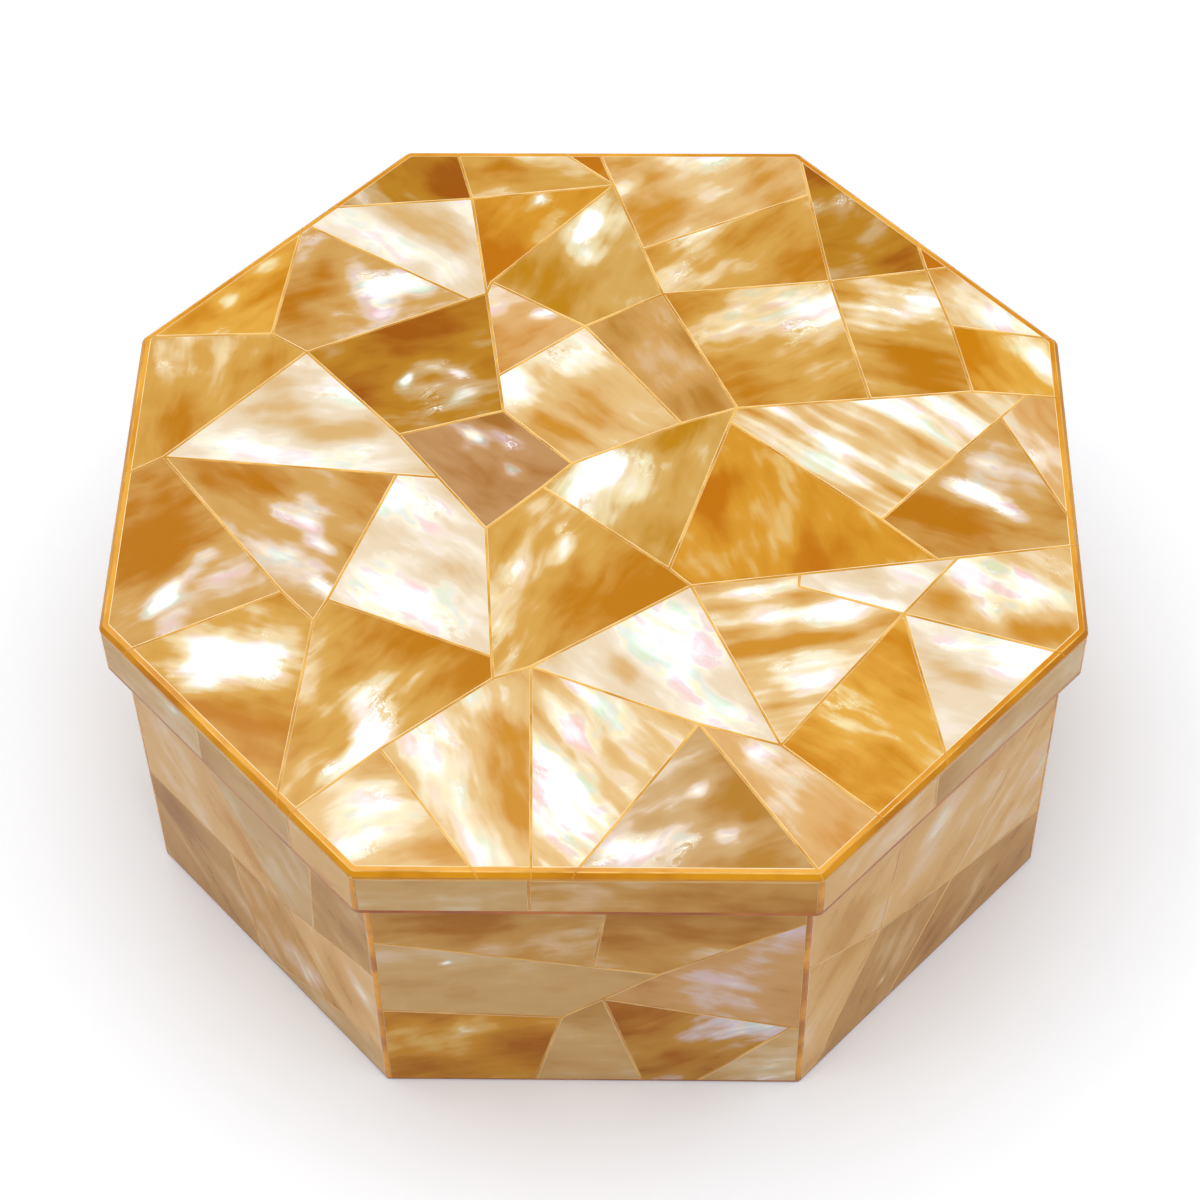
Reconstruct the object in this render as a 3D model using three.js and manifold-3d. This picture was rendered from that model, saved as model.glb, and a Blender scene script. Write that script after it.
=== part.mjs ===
import * as THREE from "three";
import { mergeVertices } from "three/addons/utils/BufferGeometryUtils.js";
import Module from "manifold-3d";

// An eight-sided jewelry box with a lift-off lid. Box and lid are wood, faced all over
// with flat pieces of mother-of-pearl, cut straight and set close in amber resin.
// Millimetres, +Z up, the front faces -Y, the origin is under the middle of the box.

// Driving sizes
const lidWidth = 200; // from the left side edge to the right one
const lidDepth = 200; // from the front edge to the back one
const lidFrontEdge = 90; // length of the front edge, and of the back one
const lidSideEdge = 81; // length of each side edge
const lidHeight = 13.5; // height of the lid's rim
const boxHeight = 69.5; // height of the walls, from the table to the lid
const lidOverhang = 3.5; // how far the lid stands out over the walls

const shellThickness = 1.4; // of every mother-of-pearl piece
const jointWidth = 0.4; // resin joint between two pieces
const jointDepth = 0.5; // groove left above the resin in the wall and rim facings
const glueLine = 0.3; // bed between the wood and an upright facing
const arris = 0.8; // bevel ground along every outer edge

const wallThickness = 6; // wooden wall
const floorThickness = 6; // wooden bottom
const lipHeight = 5; // ring under the lid that keeps it centred
const lipThickness = 5;
const lipClearance = 1; // between that ring and the walls, all round

const shellTones = {
  amber: "#c27a12",
  gold: "#d9a03c",
  olive: "#c9a24a",
  tan: "#cda56a",
  peach: "#e6c095",
  mauve: "#b98e6e",
  pearl: "#f2e7d2",
};
const woodColour = "#8a6238";

// Corner letters run counter-clockwise seen from above, from the left end of the back edge.
const cornerLetters = ["a", "b", "c", "d", "e", "f", "g", "h"];

// The lid's free joints, where pieces meet away from its rim, as [right, back] of the
// lid's middle, in hundredths of half its width and half its depth.
const lidJoints = {
  p2: [-29.5, 84],
  p7: [-71.5, 41.5],
  p9: [-63.5, 36],
  p11: [-25, 54],
  p12: [-24, 57.5],
  p13: [-3, 44],
  p15: [-20, 19],
  p16: [-42, 12],
  p17: [-91.5, 5.5],
  p21: [-22.5, -14],
  p22: [-11, -2.5],
  p23: [-5, 4],
  p24: [-54, -33],
  p25: [-56.5, -38.5],
  p26: [-63.5, -31],
  p28: [-20, -47.5],
  p29: [-19.5, -53],
  p30: [-12, -50],
  p31: [-41, -70.5],
  p36: [21.5, -64],
  p38: [37.5, -69],
  p40: [20, -29],
  p41: [63, -36],
  p42: [42, -29],
  p47: [30, 20],
  p48: [59.5, -11],
  p49: [28.5, 16],
  p52: [15.5, -24.5],
  p55: [80.5, 25],
  p57: [51, 58],
  p58: [14, 54],
  p59: [72.5, 61.5],
  p62: [77, 44.5],
  p66: [9.5, 68],
  p69: [18, 15.5],
};

// Joints that end at the rim: [corner, next corner, share of the way].
const lidRimJoints = {
  r1: ["a", "h", 0.126],
  r2: ["a", "h", 0.389],
  r3: ["a", "h", 0.488],
  r4: ["a", "b", 0.321],
  r5: ["a", "b", 0.404],
  r6: ["b", "c", 0.5],
  r7: ["c", "d", 0.105],
  r8: ["c", "d", 0.72],
  r9: ["c", "d", 0.768],
  r10: ["d", "e", 0.269],
  r11: ["d", "e", 0.383],
  r12: ["d", "e", 0.47],
  r13: ["e", "f", 0.222],
  r14: ["e", "f", 0.454],
  r15: ["e", "f", 0.907],
  r16: ["f", "g", 0.282],
  r17: ["f", "g", 0.33],
  r18: ["f", "g", 0.787],
  r19: ["g", "h", 0.376],
  r20: ["g", "h", 0.539],
};

// Joints that end on a longer one: [its start, its end, share of the way].
const lidSideJoints = {
  s4: ["r3", "p66", 0.36],
  s10: ["p9", "p11", 0.9],
  s14: ["p11", "p15", 0.71],
  s19: ["p17", "s20", 0.85],
  s20: ["p16", "p21", 0.46],
  s44: ["p40", "r16", 0.278],
  s45: ["p40", "r16", 0.684],
  s46: ["p40", "r16", 0.633],
  s50: ["p55", "r18", 0.59],
  s51: ["s50", "p48", 0.18],
  s56: ["p47", "p55", 0.565],
  s64: ["h", "p57", 0.345],
};

// The lid's pieces: tone, then the corners in order round the piece.
const lidPieces = [
  ["amber", "a", "r4", "p2", "r1"],
  ["gold", "r1", "p2", "s4", "r2"],
  ["olive", "r2", "s4", "r3"],
  ["peach", "r3", "p66", "s64", "h"],
  ["pearl", "r4", "r5", "s10", "p11", "p2"],
  ["amber", "p2", "p11", "p12", "s4"],
  ["olive", "s4", "p12", "p13", "p58", "p66"],
  ["gold", "p66", "p58", "p57", "s64"],
  ["tan", "h", "p57", "p59", "r20"],
  ["tan", "r20", "p59", "r19"],
  ["peach", "r19", "p59", "p62", "g"],
  ["amber", "g", "p62", "p55", "r18"],
  ["gold", "p57", "s56", "p55", "p62", "p59"],
  ["pearl", "p58", "p47", "s56", "p57"],
  ["tan", "p58", "p13", "p69", "p47"],
  ["tan", "p12", "p11", "s14", "p13"],
  ["gold", "p13", "s14", "p15", "p23", "p69"],
  ["mauve", "p15", "p16", "p21", "p22", "p23"],
  ["olive", "p23", "p22", "p52", "p49", "p47", "p69"],
  ["amber", "p9", "p16", "p15", "p11"],
  ["peach", "r5", "p7", "p9", "s10"],
  ["olive", "r5", "b", "p7"],
  ["tan", "b", "r6", "p17", "p9", "p7"],
  ["pearl", "p9", "p17", "s20", "p16"],
  ["tan", "p17", "p26", "p25", "p24", "s19"],
  ["amber", "r6", "c", "r7", "p26", "p17"],
  ["pearl", "s19", "p24", "p28", "p21", "s20"],
  ["gold", "p21", "p28", "p29", "p30", "p40", "p52", "p22"],
  ["amber", "p25", "r8", "r9", "p31", "p29", "p28", "p24"],
  ["pearl", "r7", "r8", "p25", "p26"],
  ["pearl", "r9", "d", "r10", "p31"],
  ["gold", "p31", "r10", "r11", "p30", "p29"],
  ["peach", "p30", "r11", "r12", "p36"],
  ["pearl", "p30", "p36", "p38", "p40"],
  ["mauve", "p36", "r12", "e"],
  ["gold", "p36", "e", "r13", "p38"],
  ["peach", "p40", "p38", "p41", "p42", "s44"],
  ["amber", "p38", "r13", "r14", "p41"],
  ["pearl", "s44", "p42", "p41", "s45"],
  ["pearl", "p41", "r14", "r15"],
  ["peach", "s45", "p41", "r15", "f", "r16"],
  ["amber", "p49", "p52", "p40", "s46", "p48"],
  ["olive", "p47", "p49", "p48", "s50", "p55"],
  ["amber", "s51", "p48", "s46", "r16", "r17"],
  ["tan", "s50", "s51", "r17", "r18"],
];

// Wall facings. Free joints are [along, up] as shares of the wall's length, left to right
// seen from outside, and of its height. A side name gives a joint that ends at that edge.
const wallPatterns = {
  front: {
    joints: {
      l1: ["left", 0.4],
      l2: ["left", 0.77],
      t1: ["top", 0.545],
      e1: ["right", 0.31],
      e2: ["right", 0.89],
      b1: ["bottom", 0.36],
      b2: ["bottom", 0.62],
      b3: ["bottom", 0.75],
      m1: [0.43, 0.37],
      m3: [0.66, 0.61],
    },
    sideJoints: {
      m2: ["m1", "m3", 0.43],
      m4: ["l2", "m3", 0.77],
      m5: ["m2", "e1", 0.94],
    },
    pieces: [
      ["l2", "m4", "t1", "topLeft"],
      ["m4", "m3", "e2", "topRight", "t1"],
      ["l1", "m1", "m3", "l2"],
      ["m2", "e1", "e2", "m3"],
      ["bottomLeft", "b1", "m1", "l1"],
      ["m1", "b1", "b2", "m2"],
      ["m2", "b2", "b3", "m5"],
      ["m5", "b3", "bottomRight", "e1"],
    ],
  },
  leftDiagonal: {
    joints: {
      l1: ["left", 0.46],
      t1: ["top", 0.24],
      t2: ["top", 0.775],
      e1: ["right", 0.15],
      e2: ["right", 0.58],
      b1: ["bottom", 0.455],
      m2: [0.6, 0.465],
      m4: [0.83, 0.14],
    },
    sideJoints: {
      m1: ["l1", "m2", 0.62],
      m3: ["m2", "e2", 0.35],
    },
    pieces: [
      ["l1", "m2", "t1", "topLeft"],
      ["m2", "m3", "t2", "t1"],
      ["m3", "e2", "topRight", "t2"],
      ["bottomLeft", "b1", "m1", "l1"],
      ["m1", "b1", "m4", "m2"],
      ["m2", "m4", "e1", "e2"],
      ["b1", "bottomRight", "e1", "m4"],
    ],
  },
  rightDiagonal: {
    joints: {
      l1: ["left", 0.64],
      t1: ["top", 0.38],
      e1: ["right", 0.28],
      b1: ["bottom", 0.055],
      b2: ["bottom", 0.36],
      m1: [0.305, 0.47],
      m2: [0.61, 0.37],
    },
    sideJoints: {},
    pieces: [
      ["l1", "m1", "t1", "topLeft"],
      ["m1", "m2", "topRight", "t1"],
      ["m2", "e1", "topRight"],
      ["b1", "b2", "m2", "m1"],
      ["b2", "bottomRight", "e1", "m2"],
      ["l1", "bottomLeft", "b1", "m1"],
    ],
  },
};

// The walls, each from one corner of the box to the next.
const walls = [
  { name: "left_back", pattern: "rightDiagonal", mirrored: false },
  { name: "left", pattern: "leftDiagonal", mirrored: true },
  { name: "left_front", pattern: "leftDiagonal", mirrored: false },
  { name: "front", pattern: "front", mirrored: false },
  { name: "right_front", pattern: "rightDiagonal", mirrored: false },
  { name: "right", pattern: "rightDiagonal", mirrored: true },
  { name: "right_back", pattern: "leftDiagonal", mirrored: false },
  { name: "back", pattern: "front", mirrored: true },
];

// Where the joints of the lid's rim facing stand, as shares of each edge.
const rimJoints = [[0.45], [0.6], [0.4, 0.756], [0.376], [0.42], [0.52], [0.35], [0.58]];

const wasm = await Module();
wasm.setup();

// Outlines are convex lists of points, counter-clockwise seen from the open face.

function octagon(width, depth, frontEdge, sideEdge) {
  const x = width / 2;
  const y = depth / 2;
  const u = frontEdge / 2;
  const v = sideEdge / 2;
  const corners = [[-u, y], [-x, v], [-x, -v], [-u, -y], [u, -y], [x, -v], [x, v], [u, y]];
  return corners.map((corner) => new THREE.Vector2(...corner));
}

function crossing(a, b) {
  const share = b.point.clone().sub(a.point).cross(b.along) / a.along.cross(b.along);
  return a.point.clone().addScaledVector(a.along, share);
}

// Moves edge i, from corner i to the next, inwards by distances[i].
function insetEdges(outline, distances) {
  const lines = outline.map((from, i) => {
    const along = outline[(i + 1) % outline.length].clone().sub(from).normalize();
    const inward = new THREE.Vector2(-along.y, along.x);
    return { point: from.clone().addScaledVector(inward, distances[i]), along };
  });
  return lines.map((line, i) => crossing(lines.at(i - 1), line));
}

function inset(outline, distance) {
  return insetEdges(outline, outline.map(() => distance));
}

function between(from, to, share) {
  return from.clone().lerp(to, share);
}

// A closed body through outlines of equally many corners, lowest first.
function loft(rings) {
  const count = rings[0].outline.length;
  const top = count * (rings.length - 1);
  const positions = rings.flatMap(({ outline, z }) => outline.flatMap((p) => [p.x, p.y, z]));
  const faces = [];
  for (let i = 1; i < count - 1; i++) {
    faces.push(0, i + 1, i);
    faces.push(top, top + i, top + i + 1);
  }
  for (let low = 0; low < top; low += count) {
    for (let i = 0; i < count; i++) {
      const next = (i + 1) % count;
      faces.push(low + i, low + next, low + count + next);
      faces.push(low + i, low + count + next, low + count + i);
    }
  }
  const geometry = new THREE.BufferGeometry();
  geometry.setAttribute("position", new THREE.Float32BufferAttribute(positions, 3));
  geometry.setIndex(faces);
  return geometry;
}

function solid(geometry) {
  const bare = geometry.clone();
  bare.deleteAttribute("normal");
  bare.deleteAttribute("uv");
  const merged = mergeVertices(bare);
  const vertProperties = new Float32Array(merged.attributes.position.array);
  const triVerts = new Uint32Array(merged.index.array);
  return new wasm.Manifold(new wasm.Mesh({ numProp: 3, vertProperties, triVerts }));
}

function geometryOf(body) {
  const { vertProperties, triVerts } = body.getMesh();
  const geometry = new THREE.BufferGeometry();
  geometry.setAttribute("position", new THREE.BufferAttribute(vertProperties, 3));
  geometry.setIndex(new THREE.BufferAttribute(triVerts, 1));
  return geometry;
}

function mesh(name, geometry, color, roughness) {
  geometry.computeVertexNormals();
  const material = new THREE.MeshStandardMaterial({ color, roughness, metalness: 0, flatShading: true });
  const made = new THREE.Mesh(geometry, material);
  made.name = name;
  return made;
}

const shellRoughness = 0.2;
const woodRoughness = 0.6;
const lidOutline = octagon(lidWidth, lidDepth, lidFrontEdge, lidSideEdge);
const boxOutline = inset(lidOutline, lidOverhang);
const facing = shellThickness + glueLine; // from a shell face down to the wood
const boxWoodOutline = inset(boxOutline, facing);
const cavityOutline = inset(boxWoodOutline, wallThickness);
const slabHeight = lidHeight - shellThickness; // the lid's wood, under its top pieces

// The wooden box: one hollow body, open at the top.
function boxBody() {
  const overcut = 1;
  const outside = loft([
    { outline: boxWoodOutline, z: 0 },
    { outline: boxWoodOutline, z: boxHeight },
  ]);
  const cavity = loft([
    { outline: cavityOutline, z: floorThickness },
    { outline: cavityOutline, z: boxHeight + overcut },
  ]);
  return geometryOf(solid(outside).subtract(solid(cavity)));
}

// The wooden lid: a slab with a ring below it that drops inside the walls.
function lidBody() {
  const overcut = 1;
  const slabOutline = inset(lidOutline, facing);
  const lipOutline = inset(cavityOutline, lipClearance);
  const lipInside = inset(lipOutline, lipThickness);
  const slab = loft([
    { outline: slabOutline, z: 0 },
    { outline: slabOutline, z: slabHeight },
  ]);
  const plug = loft([
    { outline: lipOutline, z: -lipHeight },
    { outline: lipOutline, z: slabHeight / 2 },
  ]);
  const recess = loft([
    { outline: lipInside, z: -lipHeight - overcut },
    { outline: lipInside, z: 0 },
  ]);
  return geometryOf(solid(slab).add(solid(plug)).subtract(solid(recess)));
}

// Every named point of the lid's top.
function lidPoints() {
  const points = {};
  cornerLetters.forEach((letter, i) => {
    points[letter] = lidOutline[i];
  });
  for (const [name, [right, back]] of Object.entries(lidJoints)) {
    points[name] = new THREE.Vector2((right / 100) * (lidWidth / 2), (back / 100) * (lidDepth / 2));
  }
  return addPointsBetween(addPointsBetween(points, lidRimJoints), lidSideJoints);
}

// Adds points given as [start, end, share]; one may start or end on another.
function addPointsBetween(points, places) {
  const place = (name) => {
    if (!points[name]) {
      const [from, to, share] = places[name];
      points[name] = between(place(from), place(to), share);
    }
    return points[name];
  };
  Object.keys(places).forEach(place);
  return points;
}

// True where a piece's edge runs along the outline that it was cut to.
function isOnOutline(from, to, outline) {
  const tolerance = 1e-6;
  return outline.some((corner, i) => {
    const along = outline[(i + 1) % outline.length].clone().sub(corner).normalize();
    const off = (point) => Math.abs(point.clone().sub(corner).cross(along));
    return off(from) < tolerance && off(to) < tolerance;
  });
}

// One flat piece of the lid's top, upright at its joints and bevelled along the rim.
function lidPiece(outline) {
  const onRim = outline.map((from, i) => isOnOutline(from, outline[(i + 1) % outline.length], lidOutline));
  const cut = insetEdges(outline, onRim.map((rim) => (rim ? 0 : jointWidth / 2)));
  const face = insetEdges(outline, onRim.map((rim) => (rim ? arris : jointWidth / 2)));
  return loft([
    { outline: cut, z: slabHeight },
    { outline: cut, z: lidHeight - arris },
    { outline: face, z: lidHeight },
  ]);
}

// The rim facing: upright strips round the lid's edge, joined by their resin bed.
function lidRim() {
  const overcut = 1;
  const inside = inset(lidOutline, shellThickness);
  const outer = loft([
    { outline: inset(lidOutline, arris / 2), z: 0 },
    { outline: lidOutline, z: arris / 2 },
    { outline: lidOutline, z: slabHeight },
  ]);
  const hollow = loft([
    { outline: inside, z: -overcut },
    { outline: inside, z: slabHeight + overcut },
  ]);
  let rim = solid(outer).subtract(solid(hollow));
  lidOutline.forEach((corner, i) => {
    const next = lidOutline[(i + 1) % lidOutline.length];
    for (const share of rimJoints[i]) rim = rim.subtract(solid(rimGroove(corner, next, share)));
  });
  return geometryOf(rim);
}

function rimGroove(from, to, share) {
  const overcut = 1;
  const groove = new THREE.BoxGeometry(jointWidth, 2 * jointDepth, slabHeight + 2 * overcut);
  const centre = between(from, to, share);
  groove.rotateZ(to.clone().sub(from).angle());
  return groove.translate(centre.x, centre.y, slabHeight / 2);
}

// How far a facing's end leans in for each millimetre of depth, at a corner of the box.
function mitre(corner) {
  const [before, here, after] = [-1, 0, 1].map((step) => boxOutline[(corner + step + 8) % 8]);
  const turn = after.clone().sub(here).angle() - here.clone().sub(before).angle();
  return Math.tan(THREE.MathUtils.euclideanModulo(turn, 2 * Math.PI) / 2);
}

// A wall's mosaic as named points, [0, 0] at its lower left corner.
function wallPoints(pattern, length) {
  const sides = {
    left: (share) => [0, share],
    right: (share) => [1, share],
    bottom: (share) => [share, 0],
    top: (share) => [share, 1],
  };
  const shares = {
    bottomLeft: [0, 0],
    bottomRight: [1, 0],
    topRight: [1, 1],
    topLeft: [0, 1],
  };
  for (const [name, [first, second]] of Object.entries(pattern.joints)) {
    shares[name] = sides[first] ? sides[first](second) : [first, second];
  }
  const points = {};
  for (const [name, [along, up]] of Object.entries(shares)) {
    points[name] = new THREE.Vector2(along * length, up * boxHeight);
  }
  return addPointsBetween(points, pattern.sideJoints);
}

function mirrorAcross(outline, length) {
  return outline.map((point) => new THREE.Vector2(length - point.x, point.y)).reverse();
}

// One wall's facing, lying flat with its face up: its pieces stand in one bed of resin.
function wallFacing(index) {
  const { pattern, mirrored } = walls[index];
  const length = boxOutline[index].distanceTo(boxOutline[(index + 1) % 8]);
  const points = wallPoints(wallPatterns[pattern], length);
  const plate = ["bottomLeft", "bottomRight", "topRight", "topLeft"].map((name) => points[name]);
  const lean = { left: mitre(index), right: mitre((index + 1) % 8) };
  const bedHeight = shellThickness - jointDepth;
  const facingEdges = (outline, depth, bevel) =>
    outline.map((from, i) => {
      const to = outline[(i + 1) % outline.length];
      if (!isOnOutline(from, to, plate)) return jointWidth / 2;
      if (from.x !== to.x) return bevel;
      return bevel + jointWidth / 2 + depth * (from.x === 0 ? lean.left : lean.right);
    });
  const plateAt = (height) =>
    insetEdges(plate, facingEdges(plate, shellThickness - height, 0));
  let body = solid(
    loft([
      { outline: plateAt(0), z: 0 },
      { outline: plateAt(bedHeight), z: bedHeight },
    ]),
  );
  for (const names of wallPatterns[pattern].pieces) {
    let outline = names.map((name) => points[name]);
    if (mirrored) outline = mirrorAcross(outline, length);
    const ring = (height, bevel) => ({
      outline: insetEdges(outline, facingEdges(outline, shellThickness - height, bevel)),
      z: height,
    });
    const shoulder = shellThickness - arris / 2;
    const piece = loft([ring(bedHeight / 2, 0), ring(shoulder, 0), ring(shellThickness, arris / 2)]);
    body = body.add(solid(piece));
  }
  return geometryOf(body);
}

// Turns a facing upright and sets it along its wall.
function placeOnWall(facingMesh, index) {
  const from = boxOutline[index];
  const along = boxOutline[(index + 1) % 8].clone().sub(from);
  const inward = new THREE.Vector2(-along.y, along.x).normalize();
  const foot = from.clone().addScaledVector(inward, shellThickness);
  facingMesh.rotation.x = Math.PI / 2;
  const frame = new THREE.Group();
  frame.position.set(foot.x, foot.y, 0);
  frame.rotation.z = along.angle();
  frame.add(facingMesh);
  return frame;
}

const box = new THREE.Group();
box.add(mesh("box_body", boxBody(), woodColour, woodRoughness));
walls.forEach(({ name }, index) => {
  const made = mesh(`shell_wall_${name}`, wallFacing(index), shellTones.tan, shellRoughness);
  box.add(placeOnWall(made, index));
});

const lid = new THREE.Group();
lid.position.z = boxHeight;
lid.add(mesh("lid_body", lidBody(), woodColour, woodRoughness));
lid.add(mesh("shell_lid_rim", lidRim(), shellTones.peach, shellRoughness));
const points = lidPoints();
lidPieces.forEach(([tone, ...names], i) => {
  const outline = names.map((name) => points[name]);
  const number = String(i + 1).padStart(2, "0");
  lid.add(mesh(`shell_lid_${number}`, lidPiece(outline), shellTones[tone], shellRoughness));
});

const jewelryBox = new THREE.Group();
jewelryBox.add(box, lid);
export default jewelryBox;
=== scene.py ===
# %% [markdown]
# A mother-of-pearl jewelry box.
# The real box is plain wood, faced all over with flat pieces of shell. Each piece was sawn from
# another part of a shell, so each has its own colour and its own direction of growth. The pieces
# are set close together in amber resin, and then everything is ground flat and polished.
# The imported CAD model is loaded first. It is the frame that every piece here is fitted to.

# %% Load the frame
import bpy
import bmesh
import math
import numpy as np
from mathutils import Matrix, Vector


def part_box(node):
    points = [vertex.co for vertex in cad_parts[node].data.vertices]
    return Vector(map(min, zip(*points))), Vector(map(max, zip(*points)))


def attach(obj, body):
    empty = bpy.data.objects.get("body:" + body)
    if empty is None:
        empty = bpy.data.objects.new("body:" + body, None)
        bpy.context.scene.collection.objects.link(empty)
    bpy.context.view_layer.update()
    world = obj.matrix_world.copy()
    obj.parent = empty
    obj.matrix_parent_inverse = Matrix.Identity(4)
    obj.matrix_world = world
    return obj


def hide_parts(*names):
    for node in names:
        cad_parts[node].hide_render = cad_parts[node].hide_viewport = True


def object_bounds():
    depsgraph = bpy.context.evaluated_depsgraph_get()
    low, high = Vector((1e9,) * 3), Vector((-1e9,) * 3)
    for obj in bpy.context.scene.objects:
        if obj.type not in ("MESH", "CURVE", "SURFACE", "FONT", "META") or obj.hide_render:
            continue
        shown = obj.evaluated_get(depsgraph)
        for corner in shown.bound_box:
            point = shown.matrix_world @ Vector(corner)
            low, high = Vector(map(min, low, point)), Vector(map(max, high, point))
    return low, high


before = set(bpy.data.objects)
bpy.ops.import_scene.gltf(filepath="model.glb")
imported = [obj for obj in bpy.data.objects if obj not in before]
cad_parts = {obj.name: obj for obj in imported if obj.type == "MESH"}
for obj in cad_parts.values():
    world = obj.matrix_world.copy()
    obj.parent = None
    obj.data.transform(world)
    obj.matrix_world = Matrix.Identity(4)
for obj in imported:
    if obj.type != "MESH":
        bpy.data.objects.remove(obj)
cad_low, cad_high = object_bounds()
print("CAD box in mm:", [round(1000 * side, 2) for side in cad_high - cad_low])

# %% [markdown]
# The frame is in metres, but a box maker thinks in millimetres, so the sizes below are millimetres
# and each mesh is turned to metres as it is made.
# The facing follows the CAD. The finer sizes are what a hand would leave: a bevel ground round the
# lid, a hair of rounding on each sawn edge, and resin polished a little lower than the shell.

# %% Sizes of the facing
MM = 0.001
SHELL_THICKNESS = 1.4
RESIN_DROP = 0.035  # how far the softer resin is polished below the shell
SAWN_ROUNDING = 0.14  # rounding of a shell edge at a joint
LID_BEVEL = 0.85  # width of the bevel ground round the lid's top
LID_MARGIN = 1.1  # flat amber margin between the bevel and the shell
LID_CORNER_RADIUS = 2.2  # rounding of the lid's upright corners
BOX_CORNER_RADIUS = 1.2  # rounding of the walls' upright corners
CORNER_STRIP = 0.75  # resin left showing on each side of an upright corner
FOOT_LINE = 0.55  # resin line under the lowest pieces
RIM_SEAM = 0.55  # resin line between the lid's top pieces and its rim pieces
RIM_FOOT = 1.0  # resin line under the rim pieces

lid_low, lid_high = [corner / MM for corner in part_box("shell_lid_rim")]
LID_TOP = cad_high.z / MM
RIM_BOTTOM = lid_low.z
print("lid rim from", round(RIM_BOTTOM, 2), "to", round(LID_TOP, 2), "mm above the table")

# %% [markdown]
# Outlines. A flat piece is a straight-sided outline, so a few tools for outlines do most of the
# work: one finds the outline round a set of points, one moves single edges inwards, and one rounds
# the corners. Going counter-clockwise throughout means that "inwards" is always to the left.

# %% Tools for outlines
def corner_turn(a, b, c):
    """How far b stands out from the line between a and c, in mm. Positive on a left turn."""
    ab, ac = b - a, c - a
    return (ab.x * ac.y - ab.y * ac.x) / max(ac.length, 1e-9)


def outline_round(triangles, slack=0.01):
    """The outline round some flat triangles, counter-clockwise, without corners on a straight edge."""
    onwards = {}
    edges = {(t[i], t[(i + 1) % len(t)]) for t in triangles for i in range(len(t))}
    for start, end in edges:
        if (end, start) not in edges:
            onwards[start] = end
    loop = [next(iter(sorted(onwards)))]
    while onwards[loop[-1]] != loop[0]:
        loop.append(onwards[loop[-1]])
    outline = [Vector(p) for p in loop]
    area = sum(p.cross(outline[i - 1]) for i, p in enumerate(outline))
    if area > 0:
        outline.reverse()
    while True:
        count = len(outline)
        turns = [
            abs(corner_turn(outline[i - 1], outline[i], outline[(i + 1) % count]))
            for i in range(count)
        ]
        flattest = min(range(count), key=lambda i: turns[i])
        if turns[flattest] > slack:
            return outline
        del outline[flattest]


def inset(outline, distances):
    """The outline with each edge moved inwards; one distance, or one for each edge."""
    count = len(outline)
    if not isinstance(distances, (list, tuple)):
        distances = [distances] * count
    lines = []
    for i, start in enumerate(outline):
        along = (outline[(i + 1) % count] - start).normalized()
        inward = Vector((-along.y, along.x))
        lines.append((start + inward * distances[i], along))
    moved = []
    for i in range(count):
        (p, a), (q, b) = lines[i - 1], lines[i]
        gap = q - p
        moved.append(p + a * ((gap.x * b.y - gap.y * b.x) / (a.x * b.y - a.y * b.x)))
    return moved


def round_corners(outline, radius, steps=6):
    """The outline with an arc of this radius at each corner."""
    count = len(outline)
    rounded = []
    for i, corner in enumerate(outline):
        before = (outline[i - 1] - corner).normalized()
        after = (outline[(i + 1) % count] - corner).normalized()
        half = before.angle(after) / 2
        centre = corner + (before + after).normalized() * (radius / math.sin(half))
        start = corner + before * (radius / math.tan(half)) - centre
        turn = (math.pi - 2 * half) / steps
        for step in range(steps + 1):
            c, s = math.cos(turn * step), math.sin(turn * step)
            rounded.append(centre + Vector((start.x * c - start.y * s, start.x * s + start.y * c)))
    return rounded


# %% [markdown]
# Solids. A loft joins outlines of equally many corners into one closed body. Cutting one body with
# another is a boolean, the way a saw and a file would do it. Blender's Manifold solver is quick and
# exact where both bodies are closed, as these are.

# %% Tools for solids
class Face:
    """A flat face of the box: where its zero point is, and which way along, up and out run."""

    def __init__(self, origin, along, up):
        self.origin, self.along, self.up = Vector(origin), Vector(along), Vector(up)
        self.out = self.along.cross(self.up)

    def point(self, flat, height):
        return self.origin + self.along * flat.x + self.up * flat.y + self.out * height


LEVEL = Face((0, 0, 0), (1, 0, 0), (0, 1, 0))


def put_in_scene(name, data):
    """A new object with this data, linked to the scene."""
    placed = bpy.data.objects.new(name, data)
    bpy.context.scene.collection.objects.link(placed)
    return placed


def as_piece(name, made):
    """Turns a finished bmesh into an object."""
    mesh = bpy.data.meshes.new(name)
    made.to_mesh(mesh)
    made.free()
    return put_in_scene(name, mesh)


def loft(name, rings, face=LEVEL):
    """A closed body through (outline, height) rings, lowest first. The sizes are in mm."""
    made = bmesh.new()
    loops = []
    for outline, height in rings:
        loops.append([made.verts.new(face.point(p, height) * MM) for p in outline])
    for low, high in zip(loops, loops[1:]):
        for i in range(len(low)):
            j = (i + 1) % len(low)
            made.faces.new((low[i], low[j], high[j], high[i]))
    made.faces.new(loops[0][::-1])
    made.faces.new(loops[-1])
    return as_piece(name, made)


def apply_steps(piece):
    """Turns a piece and its modifiers into plain mesh."""
    graph = bpy.context.evaluated_depsgraph_get()
    result = bpy.data.meshes.new_from_object(piece.evaluated_get(graph))
    piece.modifiers.clear()
    old, piece.data = piece.data, result
    bpy.data.meshes.remove(old)


def cut(piece, tool, operation):
    """Cuts piece with tool, keeps the result as plain mesh, and leaves tool as it was."""
    step = piece.modifiers.new("cut", "BOOLEAN")
    step.operation, step.object, step.solver = operation, tool, "MANIFOLD"
    apply_steps(piece)
    piece.data.materials.clear()
    piece.data.polygons.foreach_set("material_index", [0] * len(piece.data.polygons))
    return piece


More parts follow.
